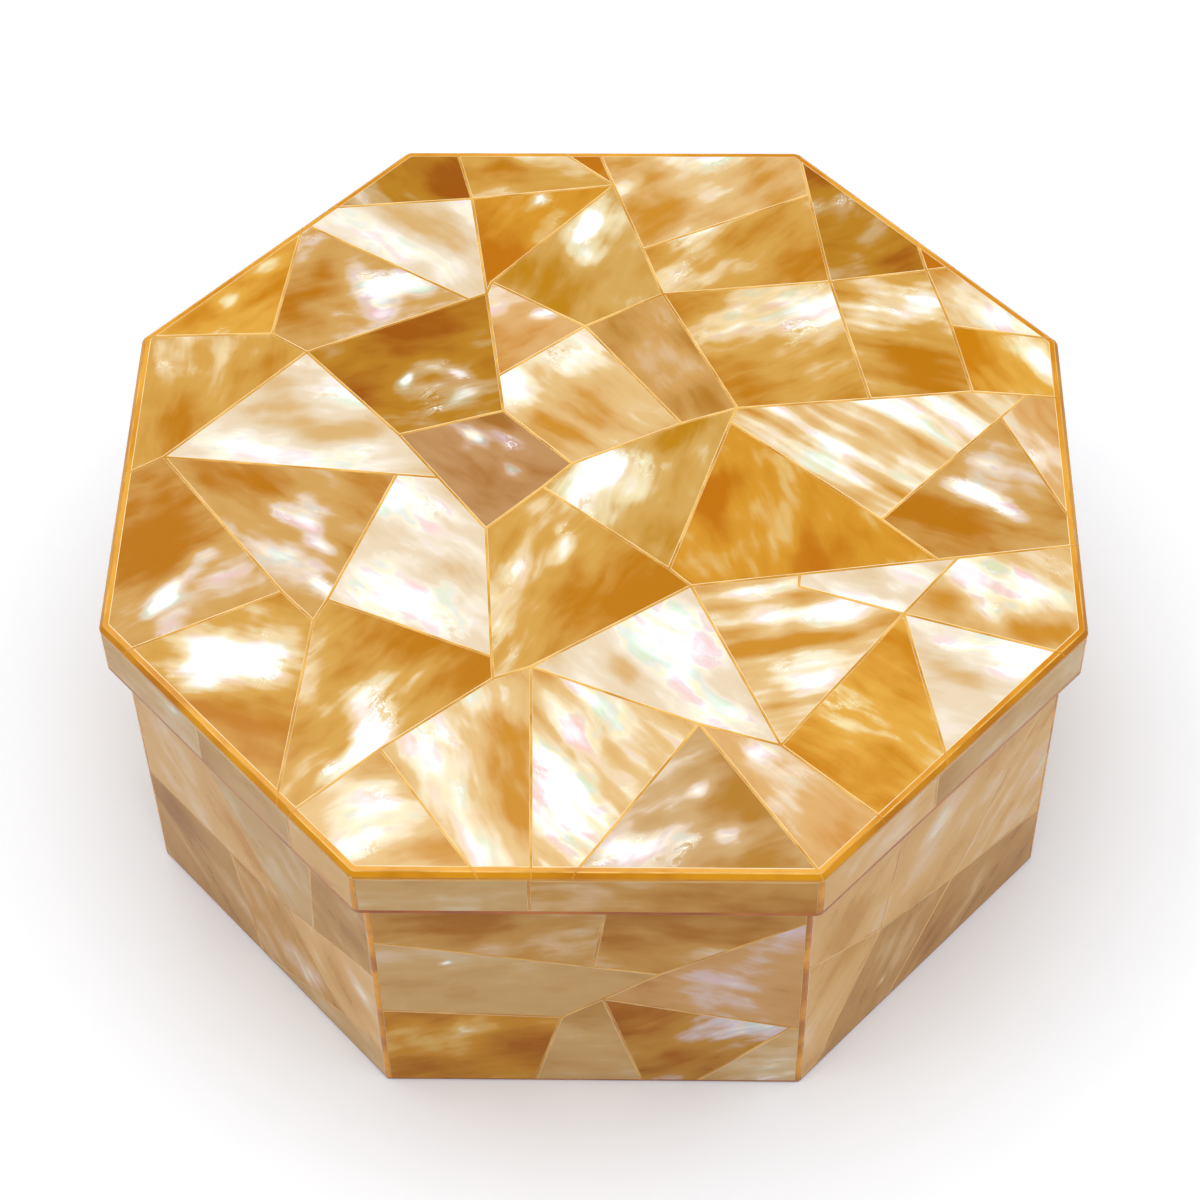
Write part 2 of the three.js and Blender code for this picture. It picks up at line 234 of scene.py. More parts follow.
def join(name, parts):
    """One object that holds all the parts' meshes; the parts are used up."""
    made = bmesh.new()
    for part in parts:
        made.from_mesh(part.data)
        bpy.data.objects.remove(part)
    return as_piece(name, made)


# %% [markdown]
# The camera. It stands where the photograph was taken from: straight in front, looking down at
# about 51 degrees, with a long lens that keeps the upright edges almost parallel.

# %% Camera
def place_camera(azimuth, elevation, roll, distance, target, lens):
    a, e = math.radians(azimuth), math.radians(elevation)
    back = Vector((math.sin(a) * math.cos(e), -math.cos(a) * math.cos(e), math.sin(e)))
    data = bpy.data.cameras.new("photo_camera")
    data.lens, data.sensor_width = lens, 36
    data.clip_start, data.clip_end = 0.01, 20
    camera = put_in_scene("photo_camera", data)
    turned = (-back).to_track_quat("-Z", "Y").to_matrix()
    right, up = turned.col[0].copy(), turned.col[1].copy()
    r = math.radians(roll)
    turned.col[0] = right * math.cos(r) + up * math.sin(r)
    turned.col[1] = up * math.cos(r) - right * math.sin(r)
    camera.location = (Vector(target) + back * distance) * MM
    camera.rotation_mode = "QUATERNION"
    camera.rotation_quaternion = turned.to_quaternion()
    bpy.context.scene.camera = camera
    return camera


camera = place_camera(
    azimuth=1.8176, elevation=51.212, roll=-1.1438, distance=729.86, target=(-0.62, 33.82, 0), lens=91.99,
)
print("camera at", [round(x / MM) for x in camera.location], "mm")

# %% [markdown]
# The lid's blank. On the real lid the top pieces and their resin are ground together, so bevel and
# rounded corners run straight across every joint. Here too the whole top is first one blank, an
# octagon with a ground bevel and rounded corners, and the pieces are cut out of it afterwards.
# Inside the bevel runs a flat amber margin, 0.05 mm lower than the shell. The small extra steps
# catch the thin lines of light that run round the real lid.

# %% Outlines of lid and box
LID_TILES = sorted(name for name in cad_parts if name[:10] == "shell_lid_" and name[10:].isdigit())


def lowest_outline(node):
    """The outline that a flat lid piece was sawn to, read from its CAD node."""
    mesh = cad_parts[node].data
    points = [tuple(round(c / MM, 2) for c in v.co) for v in mesh.vertices]
    low = min(p[2] for p in points)
    triangles = [[points[v] for v in face.vertices] for face in mesh.polygons]
    lowest = [[p[:2] for p in t] for t in triangles if max(p[2] for p in t) < low + 0.02]
    return outline_round(lowest)


def widest_outline(node):
    """The octagon round a CAD node: its outermost corner in each of the eight directions."""
    points = [v.co.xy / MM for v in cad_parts[node].data.vertices]
    corners = []
    for turn in (112.5, 157.5, 202.5, 247.5, 292.5, 337.5, 22.5, 67.5):
        way = Vector((math.cos(math.radians(turn)), math.sin(math.radians(turn))))
        corners.append(max(points, key=way.dot).copy())
    return corners


tile_outlines = {name: lowest_outline(name) for name in LID_TILES}
lid_outline = widest_outline("shell_lid_rim")
wood_outline = widest_outline("box_body")
FACING_DEPTH = 1.7  # shell and the glue behind it
box_outline = inset(wood_outline, -FACING_DEPTH)
print(len(LID_TILES), "top pieces; corners of lid and box:", len(lid_outline), len(box_outline))


# %% The lid's blank
def lid_blank(name, shrink, bottom):
    """The lid's top as one ground and polished body, its surface sunk by shrink."""
    edge = LID_BEVEL + LID_MARGIN
    # Each pair says how far in from the border, and how far below the top, in mm.
    profile = [
        (0.0, bottom), (0.0, -LID_BEVEL - 0.2), (0.05, -LID_BEVEL - 0.05), (LID_BEVEL - 0.08, -0.18),
        (LID_BEVEL + 0.06, -0.08), (LID_BEVEL + 0.2, -0.06), (edge, -0.05), (edge + 0.14, 0.0),
    ]
    rings = []
    for step_in, drop in profile:
        outline = round_corners(inset(lid_outline, step_in + shrink), LID_CORNER_RADIUS - step_in / 2)
        rings.append((outline, LID_TOP + drop - (shrink if drop > -1 else 0)))
    return loft(name, rings)


TILE_BOTTOM = -SHELL_THICKNESS
shell_blank = lid_blank("shell_blank", 0.0, TILE_BOTTOM)
lid_resin = lid_blank("resin_lid_top", RESIN_DROP, TILE_BOTTOM - RIM_SEAM)
print("lid blank", len(shell_blank.data.polygons), "faces")

# %% [markdown]
# The lid's top pieces. Each sawn piece is its outline from the CAD, standing upright at the joints
# and reaching past the rim where it runs out to it. Keeping only what it shares with the blank
# gives it the ground bevel. The same outlines, cut out of the resin blank, leave the real thing: a
# net of resin lines with a bed under each piece.

# %% Cut the lid's top pieces
def on_edge_of(a, b, border, slack=0.05):
    """True where the edge from a to b runs along the border outline."""
    for i, start in enumerate(border):
        end = border[(i + 1) % len(border)]
        if abs(corner_turn(start, a, end)) < slack and abs(corner_turn(start, b, end)) < slack:
            return True
    return False


def sawn_edges(outline, border, at_border, at_joint):
    """One distance for each edge: at_border on the lid's border, and at_joint elsewhere."""
    count = len(outline)
    return [
        at_border if on_edge_of(p, outline[(i + 1) % count], border) else at_joint
        for i, p in enumerate(outline)
    ]


def sawn_prism(name, outline, border, rounding, low, high):
    """A top piece before grinding: upright at its joints, and past the blank at the border."""
    past = -3.0
    straight = inset(outline, sawn_edges(outline, border, past, 0.0))
    eased = inset(outline, sawn_edges(outline, border, past, rounding / 2.5))
    narrow = inset(outline, sawn_edges(outline, border, past, rounding))
    if rounding == 0:
        return loft(name, [(straight, low), (straight, high)])
    rings = [(straight, low), (straight, high - rounding), (eased, high - rounding / 3), (narrow, high)]
    return loft(name, rings)


lid_tiles = {}
lid_cutters = []
for node, outline in tile_outlines.items():
    name = node.replace("shell_lid_", "tile_lid_")
    lid_cutters.append(sawn_prism("cutter", outline, lid_outline, 0, LID_TOP + TILE_BOTTOM, LID_TOP + 2))
    tile = sawn_prism(name, outline, lid_outline, SAWN_ROUNDING, LID_TOP + TILE_BOTTOM - 0.5, LID_TOP)
    lid_tiles[node] = cut(tile, shell_blank, "INTERSECT")
lid_cutter = join("lid_cutter", lid_cutters)
cut(lid_resin, lid_cutter, "DIFFERENCE")
bpy.data.objects.remove(lid_cutter)
bpy.data.objects.remove(shell_blank)
print(len(lid_tiles), "top pieces cut;", "resin net has", len(lid_resin.data.polygons), "faces")

# %% [markdown]
# The upright faces. In the CAD each wall and the rim is one fused facing, and its pieces are the
# flat islands on its outside. Walking over triangles that share corners finds them again, so the
# mosaic here is the CAD's own, whatever size the box was made in.

# %% Find the pieces on the upright faces
def upright_faces(border):
    """One flat face for each edge of an octagon, its zero point on the table below its middle."""
    faces = []
    for start, end in zip(border, border[1:] + border[:1]):
        along = Vector((*(end - start).normalized(), 0))
        out = along.cross(Vector((0, 0, 1)))
        reach = out.dot(Vector((*start, 0)))
        ends = along.dot(Vector((*start, 0))), along.dot(Vector((*end, 0)))
        faces.append((Face(out * reach, along, (0, 0, 1)), ends))
    return faces


def islands(node, border):
    """The flat outer islands of an upright facing: the face, its ends and the island's triangles."""
    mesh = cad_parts[node].data
    corners = [v.co / MM for v in mesh.vertices]
    found = []
    for face, ends in upright_faces(border):
        left = []
        for triangle in mesh.polygons:
            points = [corners[v] for v in triangle.vertices]
            if all(abs((p - face.origin).dot(face.out)) < 0.03 for p in points):
                left.append([(round(face.along.dot(p), 2), round(p.z, 2)) for p in points])
        while left:
            group = [left.pop()]
            reached = set(group[0])
            touching = [other for other in left if reached & set(other)]
            while touching:
                for other in touching:
                    reached |= set(other)
                    group.append(other)
                    left.remove(other)
                touching = [other for other in left if reached & set(other)]
            found.append((face, ends, group))
    return found


WALLS = ["left_back", "left", "left_front", "front", "right_front", "right", "right_back", "back"]
wall_islands = {name: islands("shell_wall_" + name, box_outline) for name in WALLS}
rim_islands = islands("shell_lid_rim", lid_outline)
print("pieces on each wall:", [len(found) for found in wall_islands.values()])
print("pieces on the rim:", len(rim_islands))

# %% [markdown]
# The upright pieces are plain plates, because the bevel is only on the lid. Their ends stop short
# of the corners, where the photograph shows an amber strip, and the lowest ones stop just above the
# table. So each edge that the CAD put on the border of its wall is set back to those lines.

# %% Cut the upright pieces
def plate(name, face, outline):
    """One upright shell piece: rounded at its sawn edges, standing up from its bed of glue."""
    rings = [
        (outline, -SHELL_THICKNESS),
        (outline, -SAWN_ROUNDING),
        (inset(outline, SAWN_ROUNDING / 2.5), -SAWN_ROUNDING / 3),
        (inset(outline, SAWN_ROUNDING), 0.0),
    ]
    return loft(name, rings, face)


SIDE_REACH = 1.6  # a corner this near the end of its face belongs to the end, in mm
LEVEL_REACH = 1.0  # the same for the foot and the top of the face


def fit_to_border(outline, low, high, bottom, top):
    """Moves the corners that are at the border of a face out or in to its new border."""
    fitted = []
    for p in outline:
        x = low if p.x < low + SIDE_REACH else high if p.x > high - SIDE_REACH else p.x
        y = bottom if p.y < bottom + LEVEL_REACH else top if p.y > top - LEVEL_REACH else p.y
        fitted.append(Vector((x, y)))
    return fitted


def upright_pieces(prefix, found, bottom, top):
    """Makes the plates of a facing, and keeps each one's face, outline and the face's ends."""
    made = []
    for face, (low, high), triangles in found:
        ends = low + CORNER_STRIP, high - CORNER_STRIP
        outline = fit_to_border(outline_round(triangles), *ends, bottom, top)
        made.append((face, outline, ends))
    return [
        (plate(f"{prefix}_{i + 1}", face, outline), face, outline, ends)
        for i, (face, outline, ends) in enumerate(made)
    ]


wall_top = RIM_BOTTOM - 0.1
wall_tiles = {}
for name in WALLS:
    wall_tiles[name] = upright_pieces("tile_wall_" + name, wall_islands[name], FOOT_LINE, wall_top)
RIM_TOP = LID_TOP + TILE_BOTTOM - RIM_SEAM
rim_tiles = upright_pieces("tile_rim", rim_islands, RIM_BOTTOM + RIM_FOOT, RIM_TOP)
print(sum(len(tiles) for tiles in wall_tiles.values()), "wall pieces and", len(rim_tiles), "rim pieces")

# %% [markdown]
# The resin behind the upright pieces is one ring round the walls and one round the lid. At the
# corners it shows as an amber strip with a sanded rounding, and at the foot as a thin line darkened
# with painted shade.

# %% Resin of walls and rim
def resin_ring(name, outline, inner, radius, bottom, top, worn, tiles):
    """A ring of resin with rounded corners and a worn foot, with the pieces' beds cut out of it."""
    sunk = inset(outline, RESIN_DROP)
    rings = [
        (round_corners(inset(sunk, worn), radius - worn / 2), bottom),
        (round_corners(inset(sunk, worn * 0.3), radius), bottom + worn * 0.3),
        (round_corners(sunk, radius), bottom + worn),
        (round_corners(sunk, radius), top),
    ]
    ring = loft(name, rings)
    hole = loft("hole", [(inner, bottom - 1), (inner, top + 1)])
    cut(ring, hole, "DIFFERENCE")
    bpy.data.objects.remove(hole)
    beds = []
    for _, face, plate_outline, _ in tiles:
        beds.append(loft("bed", [(plate_outline, -SHELL_THICKNESS), (plate_outline, 1.0)], face))
    bed = join("beds", beds)
    cut(ring, bed, "DIFFERENCE")
    bpy.data.objects.remove(bed)
    return ring


all_wall_tiles = [tile for tiles in wall_tiles.values() for tile in tiles]
wall_resin = resin_ring(
    "resin_walls", box_outline, wood_outline, BOX_CORNER_RADIUS, 0, RIM_BOTTOM, 0.3, all_wall_tiles,
)
rim_inside = inset(lid_outline, FACING_DEPTH)
rim_resin = resin_ring(
    "resin_rim", lid_outline, rim_inside, LID_CORNER_RADIUS, RIM_BOTTOM, RIM_TOP, 0.15, rim_tiles,
)
print("resin faces:", len(wall_resin.data.polygons), len(rim_resin.data.polygons))

# %% [markdown]
# Materials start with colour. Colours are written as the hex values that a paint program shows, and
# the shader works in linear light, so one function turns the first into the second.
# The second function adds a node: its kind, its options, and for each input a value or a link.

# %% Tools for materials
def colour(hex_value):
    """An sRGB hex value such as #C98317 as linear red, green, blue and alpha."""
    values = [int(hex_value[i:i + 2], 16) / 255 for i in (1, 3, 5)]
    linear = [v / 12.92 if v <= 0.04045 else ((v + 0.055) / 1.055) ** 2.4 for v in values]
    return (*linear, 1.0)


def add_node(tree, kind, inputs=None, **options):
    """Adds one node, sets its options, then fills each input with a value or a link."""
    node = tree.nodes.new(kind)
    for option, value in options.items():
        setattr(node, option, value)
    for socket, value in (inputs or {}).items():
        if isinstance(value, bpy.types.NodeSocket):
            tree.links.new(value, node.inputs[socket])
        else:
            node.inputs[socket].default_value = value
    return node


def new_group(name, inputs, outputs):
    """An empty node group with these sockets, and its input and output nodes."""
    tree = bpy.data.node_groups.new(name, "ShaderNodeTree")
    for socket, kind in inputs.items():
        tree.interface.new_socket(socket, in_out="INPUT", socket_type="NodeSocket" + kind)
    for socket, kind in outputs.items():
        tree.interface.new_socket(socket, in_out="OUTPUT", socket_type="NodeSocket" + kind)
    return tree, add_node(tree, "NodeGroupInput").outputs, add_node(tree, "NodeGroupOutput").inputs


def new_material(name):
    """An empty material and its node tree."""
    material = bpy.data.materials.new(name)
    material.use_nodes = True
    material.node_tree.nodes.clear()
    return material, material.node_tree


# %% [markdown]
# Where a point lies in its shell. Every vertex of a piece stores two places in millimetres. The
# first is its place on the face of the box, so that a light or dark patch can be put where the real
# piece has one. The second is its place in the shell that the piece was sawn from, a different part
# of it for each piece, so that no two pieces grow the same pattern.

# %% Store the places in the shell
SHELL_STEP = np.array([137.0, 59.0, 11.0])  # mm from one piece's part of the shell to the next


def store_places(piece, face, span=None, mirrored=False, number=0):
    """Writes face_mm and shell_mm on the vertices. A span puts zero at the left end of a wall."""
    mesh = piece.data
    count = len(mesh.vertices)
    world = np.empty(count * 3, np.float32)
    mesh.vertices.foreach_get("co", world)
    world = world.reshape(-1, 3) / MM - np.array(face.origin)
    axes = np.array([face.along, face.up, face.out])
    places = world @ axes.T
    if span:
        low, high = span
        places[:, 0] = (high - places[:, 0]) if mirrored else (places[:, 0] - low)
    for name, values in (("face_mm", places), ("shell_mm", places + number * SHELL_STEP)):
        attribute = mesh.attributes.new(name, "FLOAT_VECTOR", "POINT")
        attribute.data.foreach_set("vector", values.astype(np.float32).ravel())


for number, (node, tile) in enumerate(lid_tiles.items()):
    store_places(tile, Face((0, 0, LID_TOP), (1, 0, 0), (0, 1, 0)), number=number)
MIRRORED = {"left", "right", "back"}
for turn, name in enumerate(WALLS):
    for tile, face, _, span in wall_tiles[name]:
        store_places(tile, face, span, name in MIRRORED, number=60 + turn)
for number, (tile, face, _, span) in enumerate(rim_tiles):
    store_places(tile, face, span, number=90 + number)
print("stored places on", len(bpy.data.meshes), "meshes")

# %% [markdown]
# A soft spot is one patch on a shell piece: its place, its radius, and a falloff that is longer
# along the growth lines than across them. It is a small node group, used for the white flashes, the
# pale clouds and the deep ones. The white flashes are painted highlights over the palest shell.

# %% Node group for one soft spot
spot_tree, spot_in, spot_out = new_group(
    "soft spot",
    {"Place": "Vector", "Spot": "Vector", "Angle": "Float"},
    {"Amount": "Float"},
)
spot_size = add_node(spot_tree, "ShaderNodeSeparateXYZ", {0: spot_in["Spot"]})
spot_centre = add_node(
    spot_tree, "ShaderNodeCombineXYZ", {0: spot_size.outputs[0], 1: spot_size.outputs[1]},
)
away = add_node(
    spot_tree, "ShaderNodeVectorMath",
    {0: spot_in["Place"], 1: spot_centre.outputs[0]}, operation="SUBTRACT",
)
turned = add_node(
    spot_tree, "ShaderNodeVectorRotate",
    {"Vector": away.outputs[0], "Angle": spot_in["Angle"]}, rotation_type="Z_AXIS", invert=True,
)
flattened = add_node(
    spot_tree, "ShaderNodeVectorMath",
    {0: turned.outputs[0], 1: (0.7, 1.1, 0.0)}, operation="MULTIPLY",
)
far = add_node(spot_tree, "ShaderNodeVectorMath", {0: flattened.outputs[0]}, operation="LENGTH")
safe_size = add_node(
    spot_tree, "ShaderNodeMath", {0: spot_size.outputs[2], 1: 0.01}, operation="MAXIMUM",
)
share = add_node(
    spot_tree, "ShaderNodeMath", {0: far.outputs["Value"], 1: safe_size.outputs[0]}, operation="DIVIDE",
)
fall = add_node(
    spot_tree, "ShaderNodeMapRange",
    {"Value": share.outputs[0], "From Min": 0.0, "From Max": 1.8, "To Min": 1.0, "To Max": 0.0},
    interpolation_type="SMOOTHSTEP",
)
spot_tree.links.new(fall.outputs["Result"], spot_out["Amount"])
print("soft spot:", len(spot_tree.nodes), "nodes")

# %% [markdown]
# Nacre, the inside of a shell, is thousands of thin layers of aragonite. Ground flat, the layers
# come out as soft cloudy bands, as on cut wood. One number, the lightness of the band, is built up
# first. It starts from the patches of the piece, the soft spots, and the bands come on top: clouds
# 24 mm long and 15 mm wide, streaks 3.4 mm wide, straight ripples 3.6 mm apart and lines of 0.8 mm.

# %% Node group for nacre
SPOTS = ["White 1", "White 2", "White 3", "Pale 1", "Pale 2", "Deep 1", "Deep 2"]
nacre_tree, nacre_in, nacre_out = new_group(
    "nacre",
    {"Angle": "Float", "Deep": "Color", "Body": "Color", "Light": "Color", "Streaks": "Float",
     "Ripples": "Float", "Painted glints": "Float", "Colours": "Float", **{s: "Vector" for s in SPOTS}},
    {"Colour": "Color", "Height": "Float"},
)
on_face = add_node(nacre_tree, "ShaderNodeAttribute", attribute_name="face_mm")
in_shell = add_node(nacre_tree, "ShaderNodeAttribute", attribute_name="shell_mm")


def shifted(place, spacing, distance):
    """The place, moved up to this distance in mm by a noise with this spacing in mm."""
    noise = add_node(
        nacre_tree, "ShaderNodeTexNoise",
        {"Vector": in_shell.outputs["Vector"], "Scale": 1 / spacing, "Detail": 1.0},
    )
    centred = add_node(
        nacre_tree, "ShaderNodeVectorMath",
        {0: noise.outputs["Color"], 1: (0.5, 0.5, 0.5)}, operation="SUBTRACT",
    )
    sized = add_node(
        nacre_tree, "ShaderNodeVectorMath",
        {0: centred.outputs[0], "Scale": distance}, operation="SCALE",
    )
    return add_node(nacre_tree, "ShaderNodeVectorMath", {0: place, 1: sized.outputs[0]}).outputs[0]


def along_growth(place):
    """The place, turned so that X runs along the growth lines."""
    turned_place = add_node(
        nacre_tree, "ShaderNodeVectorRotate",
        {"Vector": place, "Angle": nacre_in["Angle"]}, rotation_type="Z_AXIS", invert=True,
    )
    return turned_place.outputs[0]


soft_face = shifted(shifted(on_face.outputs["Vector"], 18, 12), 5, 2.0)
grown = along_growth(shifted(shifted(in_shell.outputs["Vector"], 28, 10), 6, 1.6))
straight = along_growth(shifted(in_shell.outputs["Vector"], 26, 6))


# %% The bands of growth
def growth_band(place, along, across, detail=2.0, rough=0.5):
    """A soft noise around zero with this size in mm along and across the growth."""
    sized = add_node(
        nacre_tree, "ShaderNodeVectorMath",
        {0: place, 1: (1 / along, 1 / across, 0.0)}, operation="MULTIPLY",
    )
    band = add_node(
        nacre_tree, "ShaderNodeTexNoise",
        {"Vector": sized.outputs[0], "Scale": 1.0, "Detail": detail, "Roughness": rough},
    )
    centred = add_node(
        nacre_tree, "ShaderNodeMath", {0: band.outputs["Fac"], 1: 0.5}, operation="SUBTRACT",
    )
    return centred.outputs[0]


def times(value, factor):
    product = add_node(nacre_tree, "ShaderNodeMath", {0: value, 1: factor}, operation="MULTIPLY")
    return product.outputs[0]


def plus(value, addend, factor=1.0):
    """The value plus factor times the addend."""
    total = add_node(
        nacre_tree, "ShaderNodeMath", {0: addend, 1: factor, 2: value}, operation="MULTIPLY_ADD",
    )
    return total.outputs[0]


def between(value, low, high):
    """Zero below low, one above high and smooth between them."""
    step = add_node(
        nacre_tree, "ShaderNodeMapRange", {"Value": value, "From Min": low, "From Max": high},
        interpolation_type="SMOOTHSTEP",
    )
    return step.outputs["Result"]


clouds = growth_band(grown, 24.0, 15.0)
streaks = growth_band(grown, 14.0, 3.4, 2.0, 0.45)
ripples = growth_band(straight, 50.0, 3.6, 1.0)
mottle = growth_band(grown, 7.5, 5.5)
fine = growth_band(grown, 6.0, 0.8, 1.0)
crumple = growth_band(grown, 2.6, 1.5)
layers = growth_band(grown, 12.0, 5.0)
patches = growth_band(grown, 9.0, 8.0, 1.0)
print("bands ready:", len(nacre_tree.nodes), "nodes")


# %% The lightness of the bands
def spots_added(names):
    """The sum of the soft spots with these names."""
    total = None
    for name in names:
        spot = add_node(nacre_tree, "ShaderNodeGroup", node_tree=spot_tree)
        nacre_tree.links.new(soft_face, spot.inputs["Place"])
        nacre_tree.links.new(nacre_in[name], spot.inputs["Spot"])
        nacre_tree.links.new(nacre_in["Angle"], spot.inputs["Angle"])
        total = plus(total, spot.outputs["Amount"]) if total else spot.outputs["Amount"]
    return total


painted_flash_near = spots_added(SPOTS[:3])
pale_near = spots_added(SPOTS[3:5])
deep_near = spots_added(SPOTS[5:])
uneven = plus(times(clouds, 1.5), fine, 0.1)
uneven = plus(uneven, mottle, 0.55)
uneven = plus(uneven, times(streaks, nacre_in["Streaks"]), 0.95)
uneven = plus(uneven, times(ripples, nacre_in["Ripples"]), 1.6)
lightness = plus(0.33, uneven)
# The white spots lift the lightness to white: painted highlights where the layers throw back the light.
lightness = plus(lightness, painted_flash_near, 0.55)
lightness = plus(lightness, pale_near, 0.26)
lightness = plus(lightness, deep_near, -0.44)
print("lightness ready:", len(nacre_tree.nodes), "nodes")

# %% [markdown]
# Where the shell is crumpled, small folds would catch the light as short bright lines. They are
# painted: bright lines along the crests, and painted light and shade across each fold. They gather
# in patches, and mostly in the lighter parts.

# %% The wrinkles, painted as glints
fold = add_node(nacre_tree, "ShaderNodeMath", {0: crumple}, operation="ABSOLUTE").outputs[0]
crest = plus(1.0, between(fold, 0.0, 0.035), -1.0)
gathered = times(between(patches, 0.04, 0.2), between(lightness, 0.35, 0.7))
painted_fold_glints = times(times(crest, gathered), nacre_in["Painted glints"])
painted_fold_light_and_shade = plus(lightness, times(times(crumple, gathered), nacre_in["Painted glints"]), 0.9)
lightness_with_painted_glints = plus(painted_fold_light_and_shade, painted_fold_glints, 0.35)
print("wrinkles ready:", len(nacre_tree.nodes), "nodes")

# %% [markdown]
# The lightness picks the colour: deep, body, light, then white. The white is the palest shell and,
# in the flashes and glints, painted highlight. Light that goes in and comes back between the layers
# turns pink, lilac and mint; that is painted here as an iridescent sheen on the light parts only.

# %% The colour of the bands
body = add_node(
    nacre_tree, "ShaderNodeMix",
    {0: between(lightness_with_painted_glints, -0.25, 0.44), 6: nacre_in["Deep"], 7: nacre_in["Body"]}, data_type="RGBA",
)
bright = add_node(
    nacre_tree, "ShaderNodeMix",
    {0: between(lightness_with_painted_glints, 0.38, 0.74), 6: body.outputs[2], 7: nacre_in["Light"]}, data_type="RGBA",
)
# Painted highlight: the lightest parts, and so the white flashes, turn white.
whitened_with_painted_flash = add_node(
    nacre_tree, "ShaderNodeMix",
    {0: between(lightness_with_painted_glints, 0.68, 1.05), 6: bright.outputs[2], 7: colour("#FFFDF6")}, data_type="RGBA",
)
hues = add_node(nacre_tree, "ShaderNodeValToRGB", {"Fac": plus(0.5, layers)})
hues.color_ramp.elements[0].position, hues.color_ramp.elements[0].color = 0.34, colour("#F8D9E3")
hues.color_ramp.elements[1].position, hues.color_ramp.elements[1].color = 0.66, colour("#DDF0E2")
for position, hue in ((0.42, "#EFE4F2"), (0.48, "#FFFFFF"), (0.54, "#FFF8E0"), (0.6, "#E6EEF4")):
    hues.color_ramp.elements.new(position).color = colour(hue)
# Painted iridescent sheen: pink, lilac and mint multiplied into the light parts.
painted_iridescence_share = times(plus(between(lightness_with_painted_glints, 0.5, 0.8), between(lightness_with_painted_glints, 0.85, 1.15), -0.55), nacre_in["Colours"])
tinted = add_node(
    nacre_tree, "ShaderNodeMix",
    {0: painted_iridescence_share, 6: whitened_with_painted_flash.outputs[2], 7: hues.outputs["Color"]},
    data_type="RGBA", blend_type="MULTIPLY",
)
nacre_tree.links.new(tinted.outputs[2], nacre_out["Colour"])
nacre_tree.links.new(plus(uneven, times(crest, gathered), 0.3), nacre_out["Height"])
print("nacre:", len(nacre_tree.nodes), "nodes")

# %% [markdown]
# The tones of the shells. Golden-lip oyster is amber at its rim and olive or cream further in, and
# white-lip oyster is pearl. Each tone is three colours: deep bands, body and light clouds.

# %% Tones of shell
TONES = {
    "brown": ("#985200", "#B27A1A", "#C4A26E"),
    "amber": ("#B86C00", "#CC8E24", "#DAB26A"),
    "honey": ("#C27A00", "#D8A03C", "#ECD8A0"),
    "gold": ("#B67200", "#CC9A46", "#E6CC9C"),
    "olive": ("#B67C08", "#CA9E52", "#E6D4A8"),
    "tan": ("#AC7220", "#C69652", "#D4B084"),
    "peach": ("#C27C1A", "#D4A668", "#EAD4B8"),
    "mauve": ("#A06828", "#B88A58", "#CEB09C"),
    "cream": ("#C48626", "#DAB478", "#F0E0C0"),
    "pearl": ("#D0A86C", "#E0CCAE", "#F2E8D6"),
    "lilac": ("#AC7624", "#C49E6A", "#E4D2BC"),
    "dawn": ("#B26E04", "#C89A54", "#E2CEBA"),
    "wall beige": ("#B88646", "#CCA268", "#DABC94"),
    "wall amber": ("#A85E00", "#C88822", "#DCAC5C"),
    "wall dawn": ("#A45C00", "#C08834", "#DCCACA"),
    "wall rose": ("#B87C36", "#CE9A60", "#DCC4BC"),
    "wall brown": ("#A26A2C", "#C08E4C", "#D4AC7A"),
    "wall peach": ("#CA9044", "#DEAE6E", "#E8C69E"),
    "wall gold": ("#AE6C1A", "#C89248", "#DAB284"),
}
print(len(TONES), "tones")

# %% [markdown]
# Polished nacre. The body of the shell has a fairly smooth, satin surface with a refractive index
# of about 1.56, and the polish over it is a clear, glassy coat. Under a clear polish the body itself
# hardly mirrors anything, so its specular level is low. The growth layers show as very low relief
# under the polish, so the bump goes to the body and the coat stays flat.

# %% Shell material
def shell_material(
    name, tone, angle, white=(), pale=(), deep=(),
    streaks=0.7, ripples=0.0, shine=0.7, colours=0.4, gloss=0.3,
):
    """Nacre with this tone and growth angle, its soft spots, and how strong each effect is."""
    material, tree = new_material(name)
    growth = add_node(tree, "ShaderNodeGroup", node_tree=nacre_tree)
    growth.inputs["Angle"].default_value = math.radians(angle)
    for socket, hex_value in zip(("Deep", "Body", "Light"), TONES[tone]):
        growth.inputs[socket].default_value = colour(hex_value)
    growth.inputs["Streaks"].default_value = streaks
    growth.inputs["Ripples"].default_value = ripples
    # shine sets how strong the painted glints of the folds are.
    growth.inputs["Painted glints"].default_value = shine
    growth.inputs["Colours"].default_value = colours
    for kind, spots in (("White", white), ("Pale", pale), ("Deep", deep)):
        for i, spot in enumerate(spots):
            growth.inputs[f"{kind} {i + 1}"].default_value = spot
    satin = add_node(
        tree, "ShaderNodeMapRange",
        {"Value": growth.outputs["Height"], "From Min": -0.4, "From Max": 0.4,
         "To Min": 0.24, "To Max": 0.38},
    )
    relief = add_node(
        tree, "ShaderNodeBump",
        {"Height": growth.outputs["Height"], "Strength": 0.35, "Distance": 0.25 * MM},
    )
    shader = add_node(
        tree, "ShaderNodeBsdfPrincipled",
        {"Base Color": growth.outputs["Colour"], "Roughness": satin.outputs[0], "IOR": 1.56,
         "Normal": relief.outputs[0], "Specular IOR Level": gloss * 0.4, "Coat Weight": gloss,
         "Coat Roughness": 0.05, "Coat IOR": 1.5},
    )
    add_node(tree, "ShaderNodeOutputMaterial", {"Surface": shader.outputs[0]})
    return material
